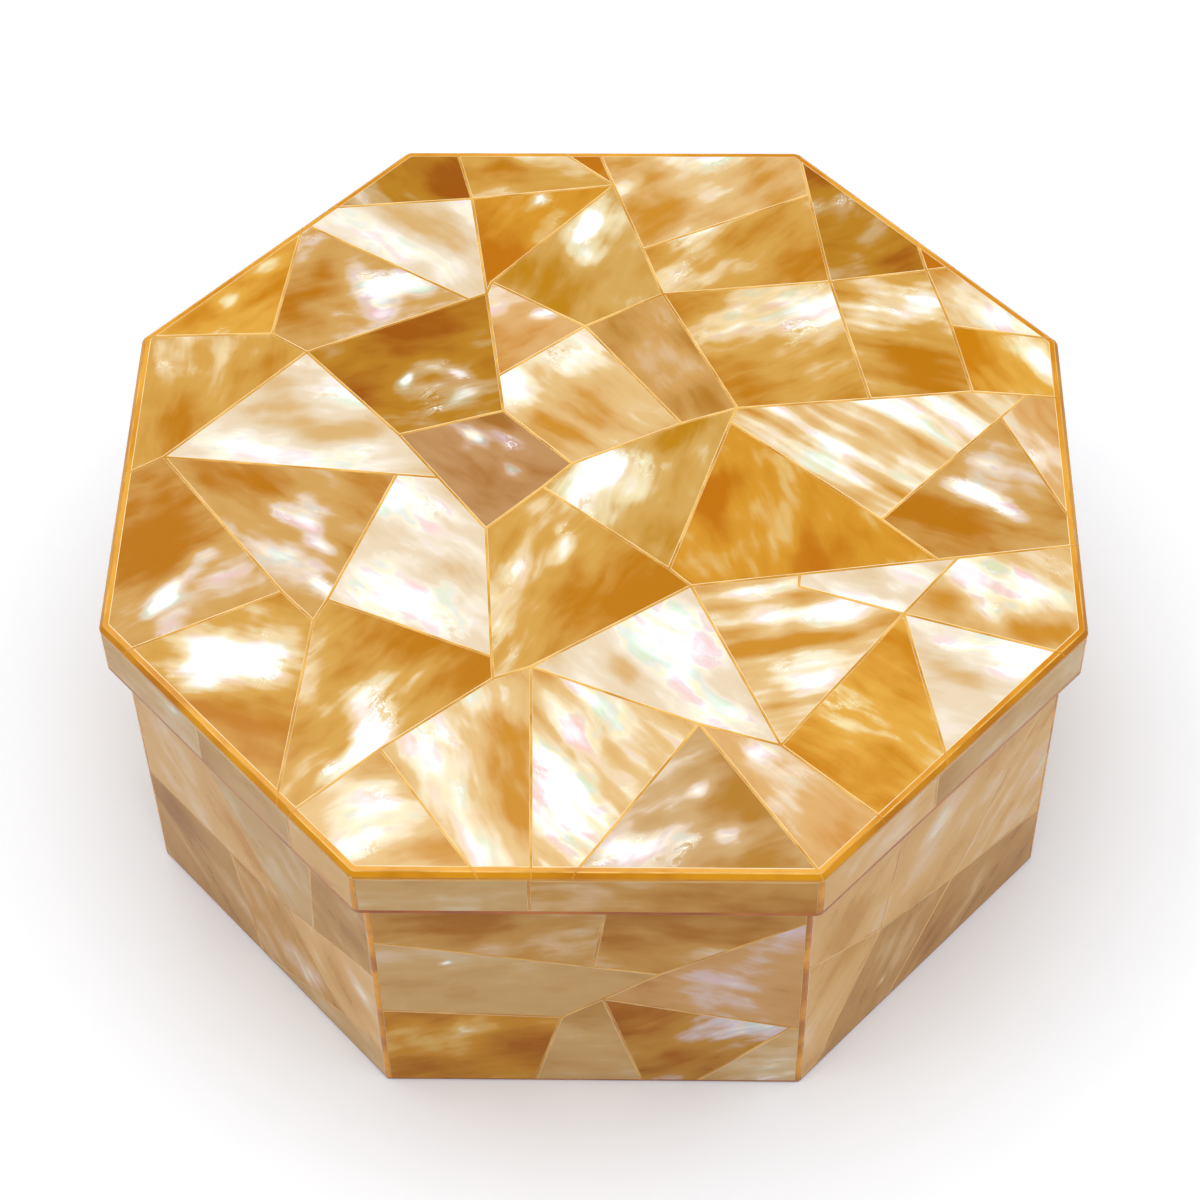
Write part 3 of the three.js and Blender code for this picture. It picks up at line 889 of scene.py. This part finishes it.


# %% [markdown]
# The top pieces, one by one. Each line is what a maker would note about a piece of shell before
# sawing it: its tone, the direction in which it grew in degrees from the front edge, then its white
# flashes, painted highlights over the palest shell, its pale clouds and deep patches as (right, back,
# radius) in mm from the middle of the lid.

# %% Shells of the top pieces
LID_SHELLS = {
    1: dict(tone="brown", angle=-50, pale=[(-50, 88, 6), (-56, 84, 5)],
            deep=[(-37, 93, 6), (-31, 87, 5)]),
    2: dict(tone="gold", angle=5, white=[(-16, 99, 3)], pale=[(-22, 87, 6), (-10, 96, 5)],
            deep=[(-18, 93, 5), (-27, 96, 4)]),
    3: dict(tone="amber", angle=80, deep=[(-6, 92, 9), (0, 96, 6)]),
    4: dict(tone="cream", angle=40, white=[(29, 100, 5), (16, 99, 4), (5, 87, 3)], pale=[(25, 86, 6)],
            deep=[(12, 93, 5), (10, 78, 6)], shine=0.9, colours=0.9),
    5: dict(tone="pearl", angle=-40, white=[(-58, 78, 6), (-47, 68, 5), (-35, 63, 5)],
            pale=[(-33, 83, 5)],
            deep=[(-40, 76, 7)], shine=1.0, colours=0.6),
    6: dict(tone="amber", angle=60, white=[(-14, 86, 2.5)], pale=[(-12, 74, 4)],
            deep=[(-22, 66, 8), (-27, 80, 7)]),
    7: dict(tone="olive", angle=70, white=[(-3, 76, 3)], pale=[(-5, 80, 6), (-2, 70, 5)],
            deep=[(-15, 60, 5), (-10, 52, 6)]),
    8: dict(tone="gold", angle=45, white=[(22, 75, 5), (33, 81, 4)], pale=[(20, 62, 6)],
            deep=[(45, 63, 8)],
            colours=0.6),
    9: dict(tone="brown", angle=30, pale=[(55, 74, 7), (54, 84, 5)], deep=[(49, 93, 6), (67, 66, 7)]),
    10: dict(tone="amber", angle=20, deep=[(70, 68, 9), (76, 62, 6)]),
    11: dict(tone="cream", angle=-45, white=[(86, 49, 3), (93, 44, 2.5)], pale=[(80, 56, 4)],
             deep=[(74, 63, 4)],
             colours=0.9),
    12: dict(tone="honey", angle=-65, white=[(96, 34, 4)], pale=[(90, 41, 3)], deep=[(79, 36, 9)]),
    13: dict(tone="gold", angle=-15, white=[(61, 57, 4), (72, 54, 4)], pale=[(60, 49, 5), (78, 42, 6)],
             deep=[(64, 34, 7), (71, 27, 6)], streaks=0.5, ripples=0.7, colours=0.3),
    14: dict(tone="gold", angle=30, white=[(29, 42, 5), (27, 52, 5), (48, 48, 9)], pale=[(40, 52, 6)],
             deep=[(18, 50, 5), (30, 26, 9)], shine=0.9, colours=0.7),
    15: dict(tone="tan", angle=-60, pale=[(14, 30, 5)], deep=[(25, 22, 5), (20, 40, 4)], shine=1.3),
    16: dict(tone="peach", angle=20, white=[(-12, 47, 2)], pale=[(-23, 50, 4)], deep=[(-26, 42, 4)],
             colours=0.9),
    17: dict(tone="cream", angle=-35, white=[(-17, 25, 6), (-12, 36, 5), (-19, 31, 5)],
             pale=[(-5, 38, 6)],
             deep=[(-10, 14, 5), (-2, 18, 5)], streaks=0.8, shine=1.0),
    18: dict(tone="mauve", angle=-35, white=[(-25, 10, 2.5), (-18, 11, 3), (-15, 1, 2)],
             pale=[(-19, 9, 5)],
             deep=[(-22, 17, 3), (-26, 1, 6)], shine=1.2, colours=1.0),
    19: dict(tone="olive", angle=75, white=[(1, 1, 4), (-3, -4, 4)], pale=[(12, 7, 5), (4, -4, 8)],
             deep=[(19, 14, 4), (15, -18, 6)], streaks=0.9),
    20: dict(tone="brown", angle=18, white=[(-29, 30, 2.2), (-40, 27, 1.5)], pale=[(-32, 22, 9)],
             deep=[(-40, 42, 7), (-52, 27, 6)], shine=1.2),
    21: dict(tone="dawn", angle=20, white=[(-53, 55, 4.5), (-45, 57, 4.5), (-51, 49, 3.5)],
             pale=[(-40, 47, 6), (-48, 42, 6)], deep=[(-65, 62, 6), (-70, 50, 6)], colours=1.0),
    22: dict(tone="honey", angle=40, white=[(-82, 52, 3), (-73, 62, 3)], pale=[(-85, 42, 4)],
             deep=[(-90, 46, 5), (-70, 52, 7)], streaks=1.0, shine=0.9),
    23: dict(tone="gold", angle=85, pale=[(-94, 34, 6), (-82, 29, 6)], deep=[(-88, 12, 7)],
             streaks=0.5),
    24: dict(tone="pearl", angle=-5, white=[(-57, 23, 5), (-66, 6, 7), (-50, 6, 6)], pale=[(-84, 8, 6)],
             deep=[(-48, 13, 3), (-62, 15, 6)], shine=1.2, colours=0.7),
    25: dict(tone="dawn", angle=-30, white=[(-60, -10, 4.5), (-56, -17, 3), (-55, -31, 2.5)],
             pale=[(-67, -22, 8), (-60, -27, 6)], deep=[(-73, 0, 8), (-46, -5, 5)], colours=0.8),
    26: dict(tone="dawn", angle=33, white=[(-80, -24, 2.5), (-86, -29, 3.5), (-90, -32, 3)],
             pale=[(-73, -27, 5), (-84, -37, 4)], deep=[(-88, -9, 12), (-94, -19, 9)], colours=0.8),
    27: dict(tone="pearl", angle=-45, white=[(-40, -8, 8), (-43, -31, 8), (-33, -37, 6)],
             pale=[(-28, -20, 7)],
             deep=[(-30, -27, 3.5)], streaks=0.8, shine=1.2, colours=0.9),
    28: dict(tone="gold", angle=60, white=[(-8, -20, 2)], pale=[(-15, -26, 6)],
             deep=[(2, -38, 11), (14, -27, 9)], streaks=0.9),
    29: dict(tone="gold", angle=50, white=[(-46, -58, 4), (-44, -65, 4), (-48, -74, 4)],
             pale=[(-42, -66, 7)],
             deep=[(-42, -42, 8), (-24, -48, 8)], streaks=1.0, shine=1.0),
    30: dict(tone="gold", angle=-10, white=[(-82, -45, 7), (-75, -51, 6), (-66, -48, 6)],
             pale=[(-64, -38, 5)],
             deep=[(-66, -66, 9), (-58, -77, 7)], shine=0.9, colours=0.5),
    31: dict(tone="cream", angle=20, white=[(-44, -83, 5), (-46, -93, 4), (-52, -76, 4)],
             pale=[(-38, -90, 5)],
             deep=[(-27, -95, 6), (-34, -78, 5)], shine=0.9, colours=0.7),
    32: dict(tone="cream", angle=-70, white=[(-36, -67, 5), (-28, -76, 6), (-21, -91, 7)],
             pale=[(-20, -58, 5)],
             deep=[(-14, -73, 7), (-13, -86, 5)], streaks=1.0, colours=0.7),
    33: dict(tone="cream", angle=-50, white=[(-3, -63, 6), (-8, -78, 7), (1, -90, 6)],
             pale=[(8, -76, 6), (-8, -90, 6)], ripples=0.8, colours=1.0),
    34: dict(tone="pearl", angle=-35, white=[(13, -40, 8), (20, -50, 8), (27, -62, 6)],
             pale=[(-5, -51, 5)],
             deep=[(8, -52, 3)], colours=1.1),
    35: dict(tone="lilac", angle=30, white=[(21, -78, 2), (26, -89, 2.5), (6, -95, 5)],
             pale=[(13, -94, 6)],
             deep=[(30, -78, 8), (38, -92, 8)], shine=1.6, colours=0.8),
    36: dict(tone="peach", angle=-40, white=[(34, -71, 3)], pale=[(40, -76, 5)], deep=[(47, -88, 5)],
             colours=0.8),
    37: dict(tone="cream", angle=10, white=[(31, -34, 6), (43, -50, 5), (50, -37, 5)],
             pale=[(37, -36, 6)],
             deep=[(28, -45, 6), (44, -42, 5)], ripples=1.0, shine=0.9, colours=0.6),
    38: dict(tone="honey", angle=-35, pale=[(50, -60, 5)], deep=[(62, -47, 8), (48, -74, 7)],
             streaks=0.9, shine=1.1, colours=0.1),
    39: dict(tone="pearl", angle=-30, white=[(63, -25, 4), (54, -31, 3), (61, -34, 3)], colours=0.6),
    40: dict(tone="pearl", angle=-20, white=[(78, -45, 6), (89, -47, 6)], pale=[(84, -54, 6)],
             deep=[(72, -50, 4)],
             colours=0.8),
    41: dict(tone="cream", angle=-40, white=[(77, -25, 4), (91, -30, 5), (80, -34, 3)],
             pale=[(84, -27, 6)],
             deep=[(71, -33, 4), (90, -43, 4)], shine=1.2, colours=1.2),
    42: dict(tone="amber", angle=-70, pale=[(35, -12, 6), (55, -15, 6)],
             deep=[(25, -8, 7), (45, -21, 8)],
             streaks=0.8),
    43: dict(tone="cream", angle=-38, white=[(62, 21, 7), (76, 19, 7), (50, 8, 6)],
             pale=[(33, 14, 7), (40, 4, 6)],
             streaks=0.3, ripples=1.25, shine=0.3, colours=0.7),
    44: dict(tone="dawn", angle=-20, white=[(77, -2, 3.5), (81, -4, 4), (86, -9, 3)],
             pale=[(80, -7, 6)],
             deep=[(71, -19, 10), (66, -5, 7)], colours=1.0),
    45: dict(tone="peach", angle=-60, pale=[(90, 6, 7)]),
}
for node, tile in lid_tiles.items():
    number = int(node[-2:])
    tile.data.materials.append(shell_material(f"polished nacre, lid {number:02d}", **LID_SHELLS[number]))
print(len(LID_SHELLS), "shells for the lid")

# %% [markdown]
# The upright pieces are quieter: they face away from the light, so their painted flashes and glints
# are kept weak. Two walls share a pattern, some of them mirrored, so a shell is noted once for its
# place in the pattern (share along, share up), and store_places gives each wall another part of the
# shell.

# %% Shells of the walls
SIDE_GRAIN = dict(streaks=0.5, ripples=0.45)  # the long straight growth lines of the side walls
WALL_SHELLS = {
    "front": [
        ((0.25, 0.87), dict(tone="wall gold", angle=8, pale=[(46, 66, 8)], deep=[(20, 62, 7)],
                            colours=0.5)),
        ((0.75, 0.83), dict(tone="wall gold", angle=-8, deep=[(50, 60, 8), (72, 57, 7)])),
        ((0.30, 0.58), dict(tone="wall beige", angle=4, white=[(14, 46, 0.9)], pale=[(22, 42, 8)],
                            streaks=0.3)),
        ((0.80, 0.50), dict(tone="wall rose", angle=-16, pale=[(82, 58, 9)], deep=[(52, 44, 6)],
                            streaks=0.5, colours=0.5)),
        ((0.17, 0.20), dict(tone="wall amber", angle=14, pale=[(12, 16, 7)],
                            deep=[(36, 16, 9), (10, 28, 5)])),
        ((0.47, 0.20), dict(tone="wall beige", angle=10, deep=[(40, 30, 5)])),
        ((0.72, 0.22), dict(tone="wall dawn", angle=25, pale=[(68, 22, 7), (76, 26, 6)],
                            deep=[(52, 28, 8), (58, 8, 6)], colours=0.8)),
        ((0.92, 0.12), dict(tone="wall beige", angle=12, pale=[(78, 8, 10)])),
    ],
    "left": [
        ((0.20, 0.75), dict(tone="wall peach", angle=-48, pale=[(8, 56, 8)], deep=[(34, 44, 5)])),
        ((0.55, 0.75), dict(tone="wall beige", angle=-45, pale=[(40, 50, 8)], streaks=0.5)),
        ((0.87, 0.80), dict(tone="wall brown", angle=-45, pale=[(70, 56, 4)], **SIDE_GRAIN)),
        ((0.20, 0.22), dict(tone="wall brown", angle=-40, deep=[(8, 30, 7)], pale=[(24, 18, 6)],
                            **SIDE_GRAIN)),
        ((0.52, 0.30), dict(tone="wall gold", angle=-52, pale=[(42, 22, 9), (50, 12, 6)],
                            **SIDE_GRAIN)),
        ((0.87, 0.35), dict(tone="wall peach", angle=-52, deep=[(66, 24, 5)], pale=[(78, 10, 6)],
                            **SIDE_GRAIN)),
        ((0.75, 0.06), dict(tone="wall beige", angle=-10)),
    ],
    "right": [
        ((0.17, 0.78), dict(tone="wall peach", angle=42, deep=[(10, 45, 6)], pale=[(26, 58, 6)],
                            colours=0.9)),
        ((0.60, 0.70), dict(tone="wall peach", angle=42, pale=[(40, 55, 4)], streaks=0.4)),
        ((0.87, 0.50), dict(tone="wall peach", angle=48, pale=[(72, 30, 7)], **SIDE_GRAIN,
                            colours=0.9)),
        ((0.30, 0.20), dict(tone="wall brown", angle=60, white=[(24, 12, 1.2)], pale=[(30, 20, 5)],
                            **SIDE_GRAIN)),
        ((0.70, 0.15), dict(tone="wall brown", angle=42, pale=[(58, 14, 4)], deep=[(40, 10, 8)],
                            **SIDE_GRAIN)),
        ((0.08, 0.35), dict(tone="wall peach", angle=52, pale=[(4, 20, 6)], deep=[(12, 34, 5)],
                            **SIDE_GRAIN)),
    ],
}
WALL_PATTERN = {
    "left_back": "right", "left": "left", "left_front": "left", "front": "front",
    "right_front": "right", "right": "right", "right_back": "left", "back": "front",
}
wall_materials = {
    (pattern, i): shell_material(f"satin nacre, {pattern} wall {i + 1}", shine=0.25, gloss=0.12, **shell)
    for pattern, shells in WALL_SHELLS.items()
    for i, (_, shell) in enumerate(shells)
}
for name in WALLS:
    pattern = WALL_PATTERN[name]
    for tile, _, outline, (low, high) in wall_tiles[name]:
        middle = sum(outline, Vector((0, 0))) / len(outline)
        along = (middle.x - low) / (high - low)
        along = 1 - along if name in MIRRORED else along
        here = Vector((along, middle.y / wall_top))
        nearest = min(range(len(WALL_SHELLS[pattern])),
                      key=lambda i: (Vector(WALL_SHELLS[pattern][i][0]) - here).length)
        tile.data.materials.append(wall_materials[pattern, nearest])
print(len(wall_materials), "shells for the walls")

# %% Shells of the rim
RIM_SHELLS = [
    dict(tone="wall beige", angle=3, pale=[(20, 75, 10)]),
    dict(tone="wall gold", angle=-5, deep=[(70, 76, 8)], pale=[(50, 76, 9)]),
    dict(tone="wall peach", angle=20, pale=[(20, 75, 10)], colours=0.5),
    dict(tone="wall beige", angle=10, deep=[(30, 75, 9)]),
]
rim_materials = [
    shell_material(f"satin nacre, rim {i + 1}", shine=0.2, gloss=0.12, **shell)
    for i, shell in enumerate(RIM_SHELLS)
]
for number, (tile, _, _, _) in enumerate(rim_tiles):
    tile.data.materials.append(rim_materials[(number * 3) % 4])
print(len(rim_materials), "shells for the rim")

# %% [markdown]
# Amber resin. It is a tinted epoxy: clear and warm, with an index near 1.55, sanded and polished
# with the shell. In a joint 0.4 mm wide it looks like solid colour, a little darker where it is
# thicker, so it is an opaque glossy material with slow changes of tone along its length.

# %% Resin material
def resin_material(name, dark, light, patch_mm):
    """Polished epoxy that drifts between two colours, in patches of this size."""
    material, tree = new_material(name)
    place = add_node(tree, "ShaderNodeTexCoord")
    patches = add_node(
        tree, "ShaderNodeTexNoise",
        {"Vector": place.outputs["Object"], "Scale": 1 / (patch_mm * MM),
         "Detail": 3.0, "Roughness": 0.6},
    )
    tones = add_node(tree, "ShaderNodeValToRGB", {"Fac": patches.outputs["Fac"]})
    tones.color_ramp.elements[0].position, tones.color_ramp.elements[0].color = 0.4, colour(dark)
    tones.color_ramp.elements[1].position, tones.color_ramp.elements[1].color = 0.6, colour(light)
    wear = add_node(
        tree, "ShaderNodeMapRange", {"Value": patches.outputs["Fac"], "To Min": 0.16, "To Max": 0.3},
    )
    ripples = add_node(
        tree, "ShaderNodeTexNoise",
        {"Vector": place.outputs["Object"], "Scale": 1 / (0.9 * MM), "Detail": 2.0},
    )
    relief = add_node(
        tree, "ShaderNodeBump",
        {"Height": ripples.outputs["Fac"], "Strength": 0.15, "Distance": 0.05 * MM},
    )
    shader = add_node(
        tree, "ShaderNodeBsdfPrincipled",
        {"Base Color": tones.outputs["Color"], "Roughness": wear.outputs[0], "IOR": 1.55,
         "Normal": relief.outputs[0], "Specular IOR Level": 0.2, "Coat Weight": 0.12,
         "Coat Roughness": 0.06},
    )
    add_node(tree, "ShaderNodeOutputMaterial", {"Surface": shader.outputs[0]})
    return material


joint_resin_and_painted_ridge = resin_material("amber epoxy in the joints, painted ridge highlight", "#C98A22", "#EDB95A", 14)
wall_joint = resin_material("amber epoxy, thin in the wall joints", "#C88420", "#E8AC48", 14)
corner_resin = resin_material("amber epoxy, thick at the corners", "#B66800", "#E4960C", 9)
margin = resin_material("amber margin, ground flat", "#CC8214", "#E2A236", 22)
# Painted shade: the bevel takes a darker copy of the margin's resin.
bevel = resin_material("amber margin, bevel in painted shade", "#B87004", "#D6900C", 22)
# Painted highlight: a light colour for the thin arris where each shell begins.
arris_painted_highlight = resin_material("shell arris, painted highlight", "#EFD096", "#FCE8BE", 10)
sawn_edge_painted_sheen = resin_material("shell arris, painted sheen", "#D8B684", "#E8CEA4", 10)
# Painted shade: a darker colour for the upright sawn side of the lid's border.
side_painted_shade = resin_material("amber margin, sawn side in painted shade", "#B06606", "#D88E10", 16)
# Painted shade: the resin along the foot of the walls and the lower edge of the rim is darker.
foot_painted_shade = resin_material("amber epoxy, painted shade at the foot", "#9C4600", "#BE6606", 16)
lid_resin.data.materials.append(joint_resin_and_painted_ridge)
print("materials so far:", len(bpy.data.materials))

# %% [markdown]
# The border of the lid. Round the mosaic runs an amber margin with the ground bevel outside it, a
# bright ridge between the two, and a thin bright line where each shell begins. Ridge and line are
# painted highlights, lighter colours on the rounded edges; the bevel and the sawn side below it are
# darker copies of the margin's resin, painted shade. These faces are picked by where they are: how
# far inside the lid's border, and lower than the shell's flat top.

# %% Amber border of the lid
def lid_border_distance(point):
    """How far a point is inside the lid's border, in mm."""
    sides = zip(lid_outline, lid_outline[1:] + lid_outline[:1])
    return min(abs(corner_turn(start, point, end)) for start, end in sides)


BORDER_LINES = (
    LID_BEVEL - 0.05, LID_BEVEL + 0.25, LID_BEVEL + LID_MARGIN, LID_BEVEL + LID_MARGIN + 0.14,
)
border_faces = 0
for tile in lid_tiles.values():
    # The ridge takes the lighter joint resin as a painted highlight.
    for material in (bevel, joint_resin_and_painted_ridge, margin, arris_painted_highlight, side_painted_shade):
        tile.data.materials.append(material)
    for face in tile.data.polygons:
        inside = lid_border_distance((face.center / MM).xy)
        if face.center.z / MM < LID_TOP - 0.01 and face.normal.z > 0.3:
            face.material_index = 1 + min(sum(inside > line for line in BORDER_LINES), 3)
            border_faces += 1
        if abs(face.normal.z) < 0.3 and inside < 0.1:
            face.material_index = 5
print(border_faces, "faces of border and arris on the lid")

# %% [markdown]
# The upright sides have such lines as well. The resin is thin and golden in the joints, thick and
# dark at the corners, and darker at the foot, which is painted shade. The sawn edge of every plate
# takes a lighter colour, a painted highlight. First the rings of resin get new edges along those
# borders, and then their faces are picked by place.
# The resin net of the lid is treated in the same way, so its margin runs on across every joint.

# %% Lines on walls and rim
def score(piece, planes):
    """Cuts new edges into the faces of a piece along some planes: a point and a direction each."""
    mesh = bmesh.new()
    mesh.from_mesh(piece.data)
    bmesh.ops.triangulate(mesh, faces=mesh.faces[:])
    for point, direction in planes:
        everything = mesh.verts[:] + mesh.edges[:] + mesh.faces[:]
        bmesh.ops.bisect_plane(mesh, geom=everything, plane_co=Vector(point) * MM, plane_no=direction)
    mesh.to_mesh(piece.data)
    mesh.free()


def near_corner(point, sides):
    """Whether a point on a facing is within the amber strip of one of its upright corners."""
    for face, (low, high) in sides:
        along = face.along.dot(point)
        on_side = abs((point - face.origin).dot(face.out)) < 0.5
        if on_side and not low + CORNER_STRIP < along < high - CORNER_STRIP:
            return True
    return False


resin_rings = [
    (wall_resin, box_outline, FOOT_LINE),
    (rim_resin, lid_outline, RIM_BOTTOM + RIM_FOOT),
]
for ring, border, foot in resin_rings:
    sides = upright_faces(border)
    planes = [((0, 0, foot), (0, 0, 1))]
    for face, (low, high) in sides:
        for x in (low + CORNER_STRIP, high - CORNER_STRIP):
            planes.append((face.origin + face.along * x, face.along))
    score(ring, planes)
    for material in (wall_joint, corner_resin, foot_painted_shade):
        ring.data.materials.append(material)
    for face in ring.data.polygons:
        middle = face.center / MM
        # Faces below the foot line take the painted shade.
        face.material_index = 2 if middle.z < foot else 1 if near_corner(middle, sides) else 0
border_width = LID_BEVEL + LID_MARGIN
lid_sides = [face for face, _ in upright_faces(lid_outline)]
score(lid_resin, [(face.origin - face.out * border_width, face.out) for face in lid_sides])
lid_resin.data.materials.append(margin)
for face in lid_resin.data.polygons:
    face.material_index = int(lid_border_distance((face.center / MM).xy) < border_width)
# Painted highlight: the rounded sawn edges of the upright plates take a lighter colour.
for tile, face, _, _ in all_wall_tiles + rim_tiles:
    tile.data.materials.append(sawn_edge_painted_sheen)
    for polygon in tile.data.polygons:
        if 0.1 < polygon.normal.dot(face.out) < 0.98:
            polygon.material_index = 1
print("faces of the rings:", len(wall_resin.data.polygons), len(rim_resin.data.polygons))

# %% [markdown]
# The wood. It only shows from below, because the shell covers every other side. It is a plain
# close-grained board, planed and given a thin satin lacquer. The rings are 6 mm apart and stretched
# along the board, with short dark pores.

# %% Wood material
def wood_material(name):
    """Planed board: soft rings, short pores and a satin lacquer."""
    material, tree = new_material(name)
    place = add_node(tree, "ShaderNodeTexCoord")
    board = add_node(
        tree, "ShaderNodeVectorMath",
        {0: place.outputs["Object"], 1: (0.12, 1.0, 1.0)}, operation="MULTIPLY",
    )
    rings = add_node(
        tree, "ShaderNodeTexNoise",
        {"Vector": board.outputs[0], "Scale": 1 / (6 * MM), "Detail": 5.0, "Roughness": 0.55,
         "Distortion": 0.6},
    )
    pores = add_node(
        tree, "ShaderNodeTexNoise", {"Vector": board.outputs[0], "Scale": 1 / (0.7 * MM), "Detail": 2.0},
    )
    tones = add_node(tree, "ShaderNodeValToRGB", {"Fac": rings.outputs["Fac"]})
    tones.color_ramp.elements[0].position, tones.color_ramp.elements[0].color = 0.32, colour("#6E4A26")
    tones.color_ramp.elements[1].position, tones.color_ramp.elements[1].color = 0.68, colour("#A67C4E")
    pore = add_node(
        tree, "ShaderNodeMapRange", {"Value": pores.outputs["Fac"], "From Min": 0.3, "From Max": 0.42},
    )
    grain = add_node(
        tree, "ShaderNodeMix",
        {0: pore.outputs[0], 6: colour("#5A3A1C"), 7: tones.outputs["Color"]}, data_type="RGBA",
    )
    satin = add_node(
        tree, "ShaderNodeMapRange", {"Value": pores.outputs["Fac"], "To Min": 0.55, "To Max": 0.38},
    )
    relief = add_node(
        tree, "ShaderNodeBump", {"Height": pore.outputs[0], "Strength": 0.3, "Distance": 0.1 * MM},
    )
    shader = add_node(
        tree, "ShaderNodeBsdfPrincipled",
        {"Base Color": grain.outputs[2], "Roughness": satin.outputs[0], "IOR": 1.5,
         "Normal": relief.outputs[0]},
    )
    add_node(tree, "ShaderNodeOutputMaterial", {"Surface": shader.outputs[0]})
    return material


wood = wood_material("lacquered beech, planed")
for node in ("box_body", "lid_body"):
    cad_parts[node].data.materials.clear()
    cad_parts[node].data.materials.append(wood)
print("wood on box and lid")

# %% [markdown]
# Shading. Small rounded edges should look round and large faces flat. All faces are set smooth and
# the sharp edges are marked. Smooth shading alone would bend the light on a large face where it
# meets a narrow rounded one, so the normals are weighted by the size of the faces.

# %% Smooth the rounded edges
def settle_normals(piece):
    """Smooth shading with sharp edges over 40 degrees, and normals that follow the large faces."""
    piece.data.shade_smooth()
    piece.data.set_sharp_from_angle(angle=math.radians(40))
    step = piece.modifiers.new("normals", "WEIGHTED_NORMAL")
    step.mode, step.keep_sharp, step.weight = "FACE_AREA", True, 100
    apply_steps(piece)


shell_pieces = list(lid_tiles.values()) + [tile[0] for tile in all_wall_tiles + rim_tiles]
resin_pieces = [lid_resin, wall_resin, rim_resin]
for piece in shell_pieces + resin_pieces:
    settle_normals(piece)
print(len(shell_pieces), "shell pieces,", sum(len(p.data.polygons) for p in shell_pieces), "faces")

# %% [markdown]
# Every piece rides on the frame's body, and the CAD nodes that the shell pieces replace are hidden.
# The box has no moving part, because the lid lifts straight off, so there is one body, named root.

# %% Tie the pieces to the frame
for node, tile in lid_tiles.items():
    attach(tile, "root")
    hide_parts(node)
for name in WALLS:
    for tile, _, _, _ in wall_tiles[name]:
        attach(tile, "root")
        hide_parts("shell_wall_" + name)
for tile, _, _, _ in rim_tiles:
    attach(tile, "root")
    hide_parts("shell_lid_rim")
for piece, slot in ((lid_resin, "shell_amber"), (wall_resin, "shell_wall"), (rim_resin, "shell_rim")):
    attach(piece, "root")
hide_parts("shell_lid_rim")
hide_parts(*["shell_wall_" + name for name in WALLS])
print(len(shell_pieces) + len(resin_pieces), "pieces ride on root")

# %% [markdown]
# The studio. The photograph is a plain product shot on white: soft light from all round, a large
# box above, and a floor that is white apart from the soft shadow where the walls meet it. The world
# gives the soft light. It is faintly blue, because the golden box throws warm light on the floor,
# and weaker overhead, where one wide lamp adds the shadow and the shine.

# %% Floor
floor_mesh = bpy.data.meshes.new("floor")
floor_mesh.from_pydata([(-6, -6, 0), (6, -6, 0), (6, 6, 0), (-6, 6, 0)], [], [(0, 1, 2, 3)])
floor = put_in_scene("floor", floor_mesh)
floor.location.z = -0.2 * MM
floor_material = bpy.data.materials.new("white studio paper, matt")
floor_material.use_nodes = True
floor_shader = floor_material.node_tree.nodes["Principled BSDF"]
paper = add_node(floor_material.node_tree, "ShaderNodeTexNoise", {"Scale": 900.0, "Detail": 2.0})
paper_tone = add_node(
    floor_material.node_tree, "ShaderNodeMix",
    {0: paper.outputs["Fac"], 6: colour("#F8FAFE"), 7: colour("#FAFCFF")}, data_type="RGBA",
)
floor_material.node_tree.links.new(paper_tone.outputs[2], floor_shader.inputs["Base Color"])
floor_shader.inputs["Roughness"].default_value = 0.9
floor_shader.inputs["Specular IOR Level"].default_value = 0.2
floor_mesh.materials.append(floor_material)
print("floor laid", round(-floor.location.z / MM, 2), "mm below the box")

# %% Lights
world = bpy.data.worlds.new("white studio")
world.use_nodes = True
sky = world.node_tree
way = add_node(sky, "ShaderNodeTexCoord")
height = add_node(sky, "ShaderNodeSeparateXYZ", {0: way.outputs["Generated"]})
ceiling = add_node(
    sky, "ShaderNodeMapRange",
    {"Value": height.outputs["Z"], "From Min": 0.35, "From Max": 0.7, "To Min": 0.57, "To Max": 0.16},
    interpolation_type="SMOOTHSTEP",
)
sky.links.new(ceiling.outputs[0], sky.nodes["Background"].inputs["Strength"])
sky.nodes["Background"].inputs["Color"].default_value = colour("#E9F3FF")
bpy.context.scene.world = world


def soft_lamp(name, place, target, size, power, hex_value="#FFFFFF"):
    data = bpy.data.lights.new(name, "AREA")
    data.shape, data.size, data.size_y = "RECTANGLE", size[0] * MM, size[1] * MM
    data.energy, data.color = power, colour(hex_value)[:3]
    lamp = put_in_scene(name, data)
    lamp.location = Vector(place) * MM
    lamp.rotation_mode = "QUATERNION"
    lamp.rotation_quaternion = (Vector(target) - Vector(place)).to_track_quat("-Z", "Y")
    return lamp


soft_lamp(
    "overhead softbox", place=(-25, -60, 1300), target=(0, 0, 40), size=(1900, 1500), power=23.5,
    hex_value="#FFFEFC",
)
bpy.context.scene.view_settings.view_transform = "Standard"
bpy.context.scene.view_settings.look = "None"
print("sky and", len(bpy.data.lights), "lamp")
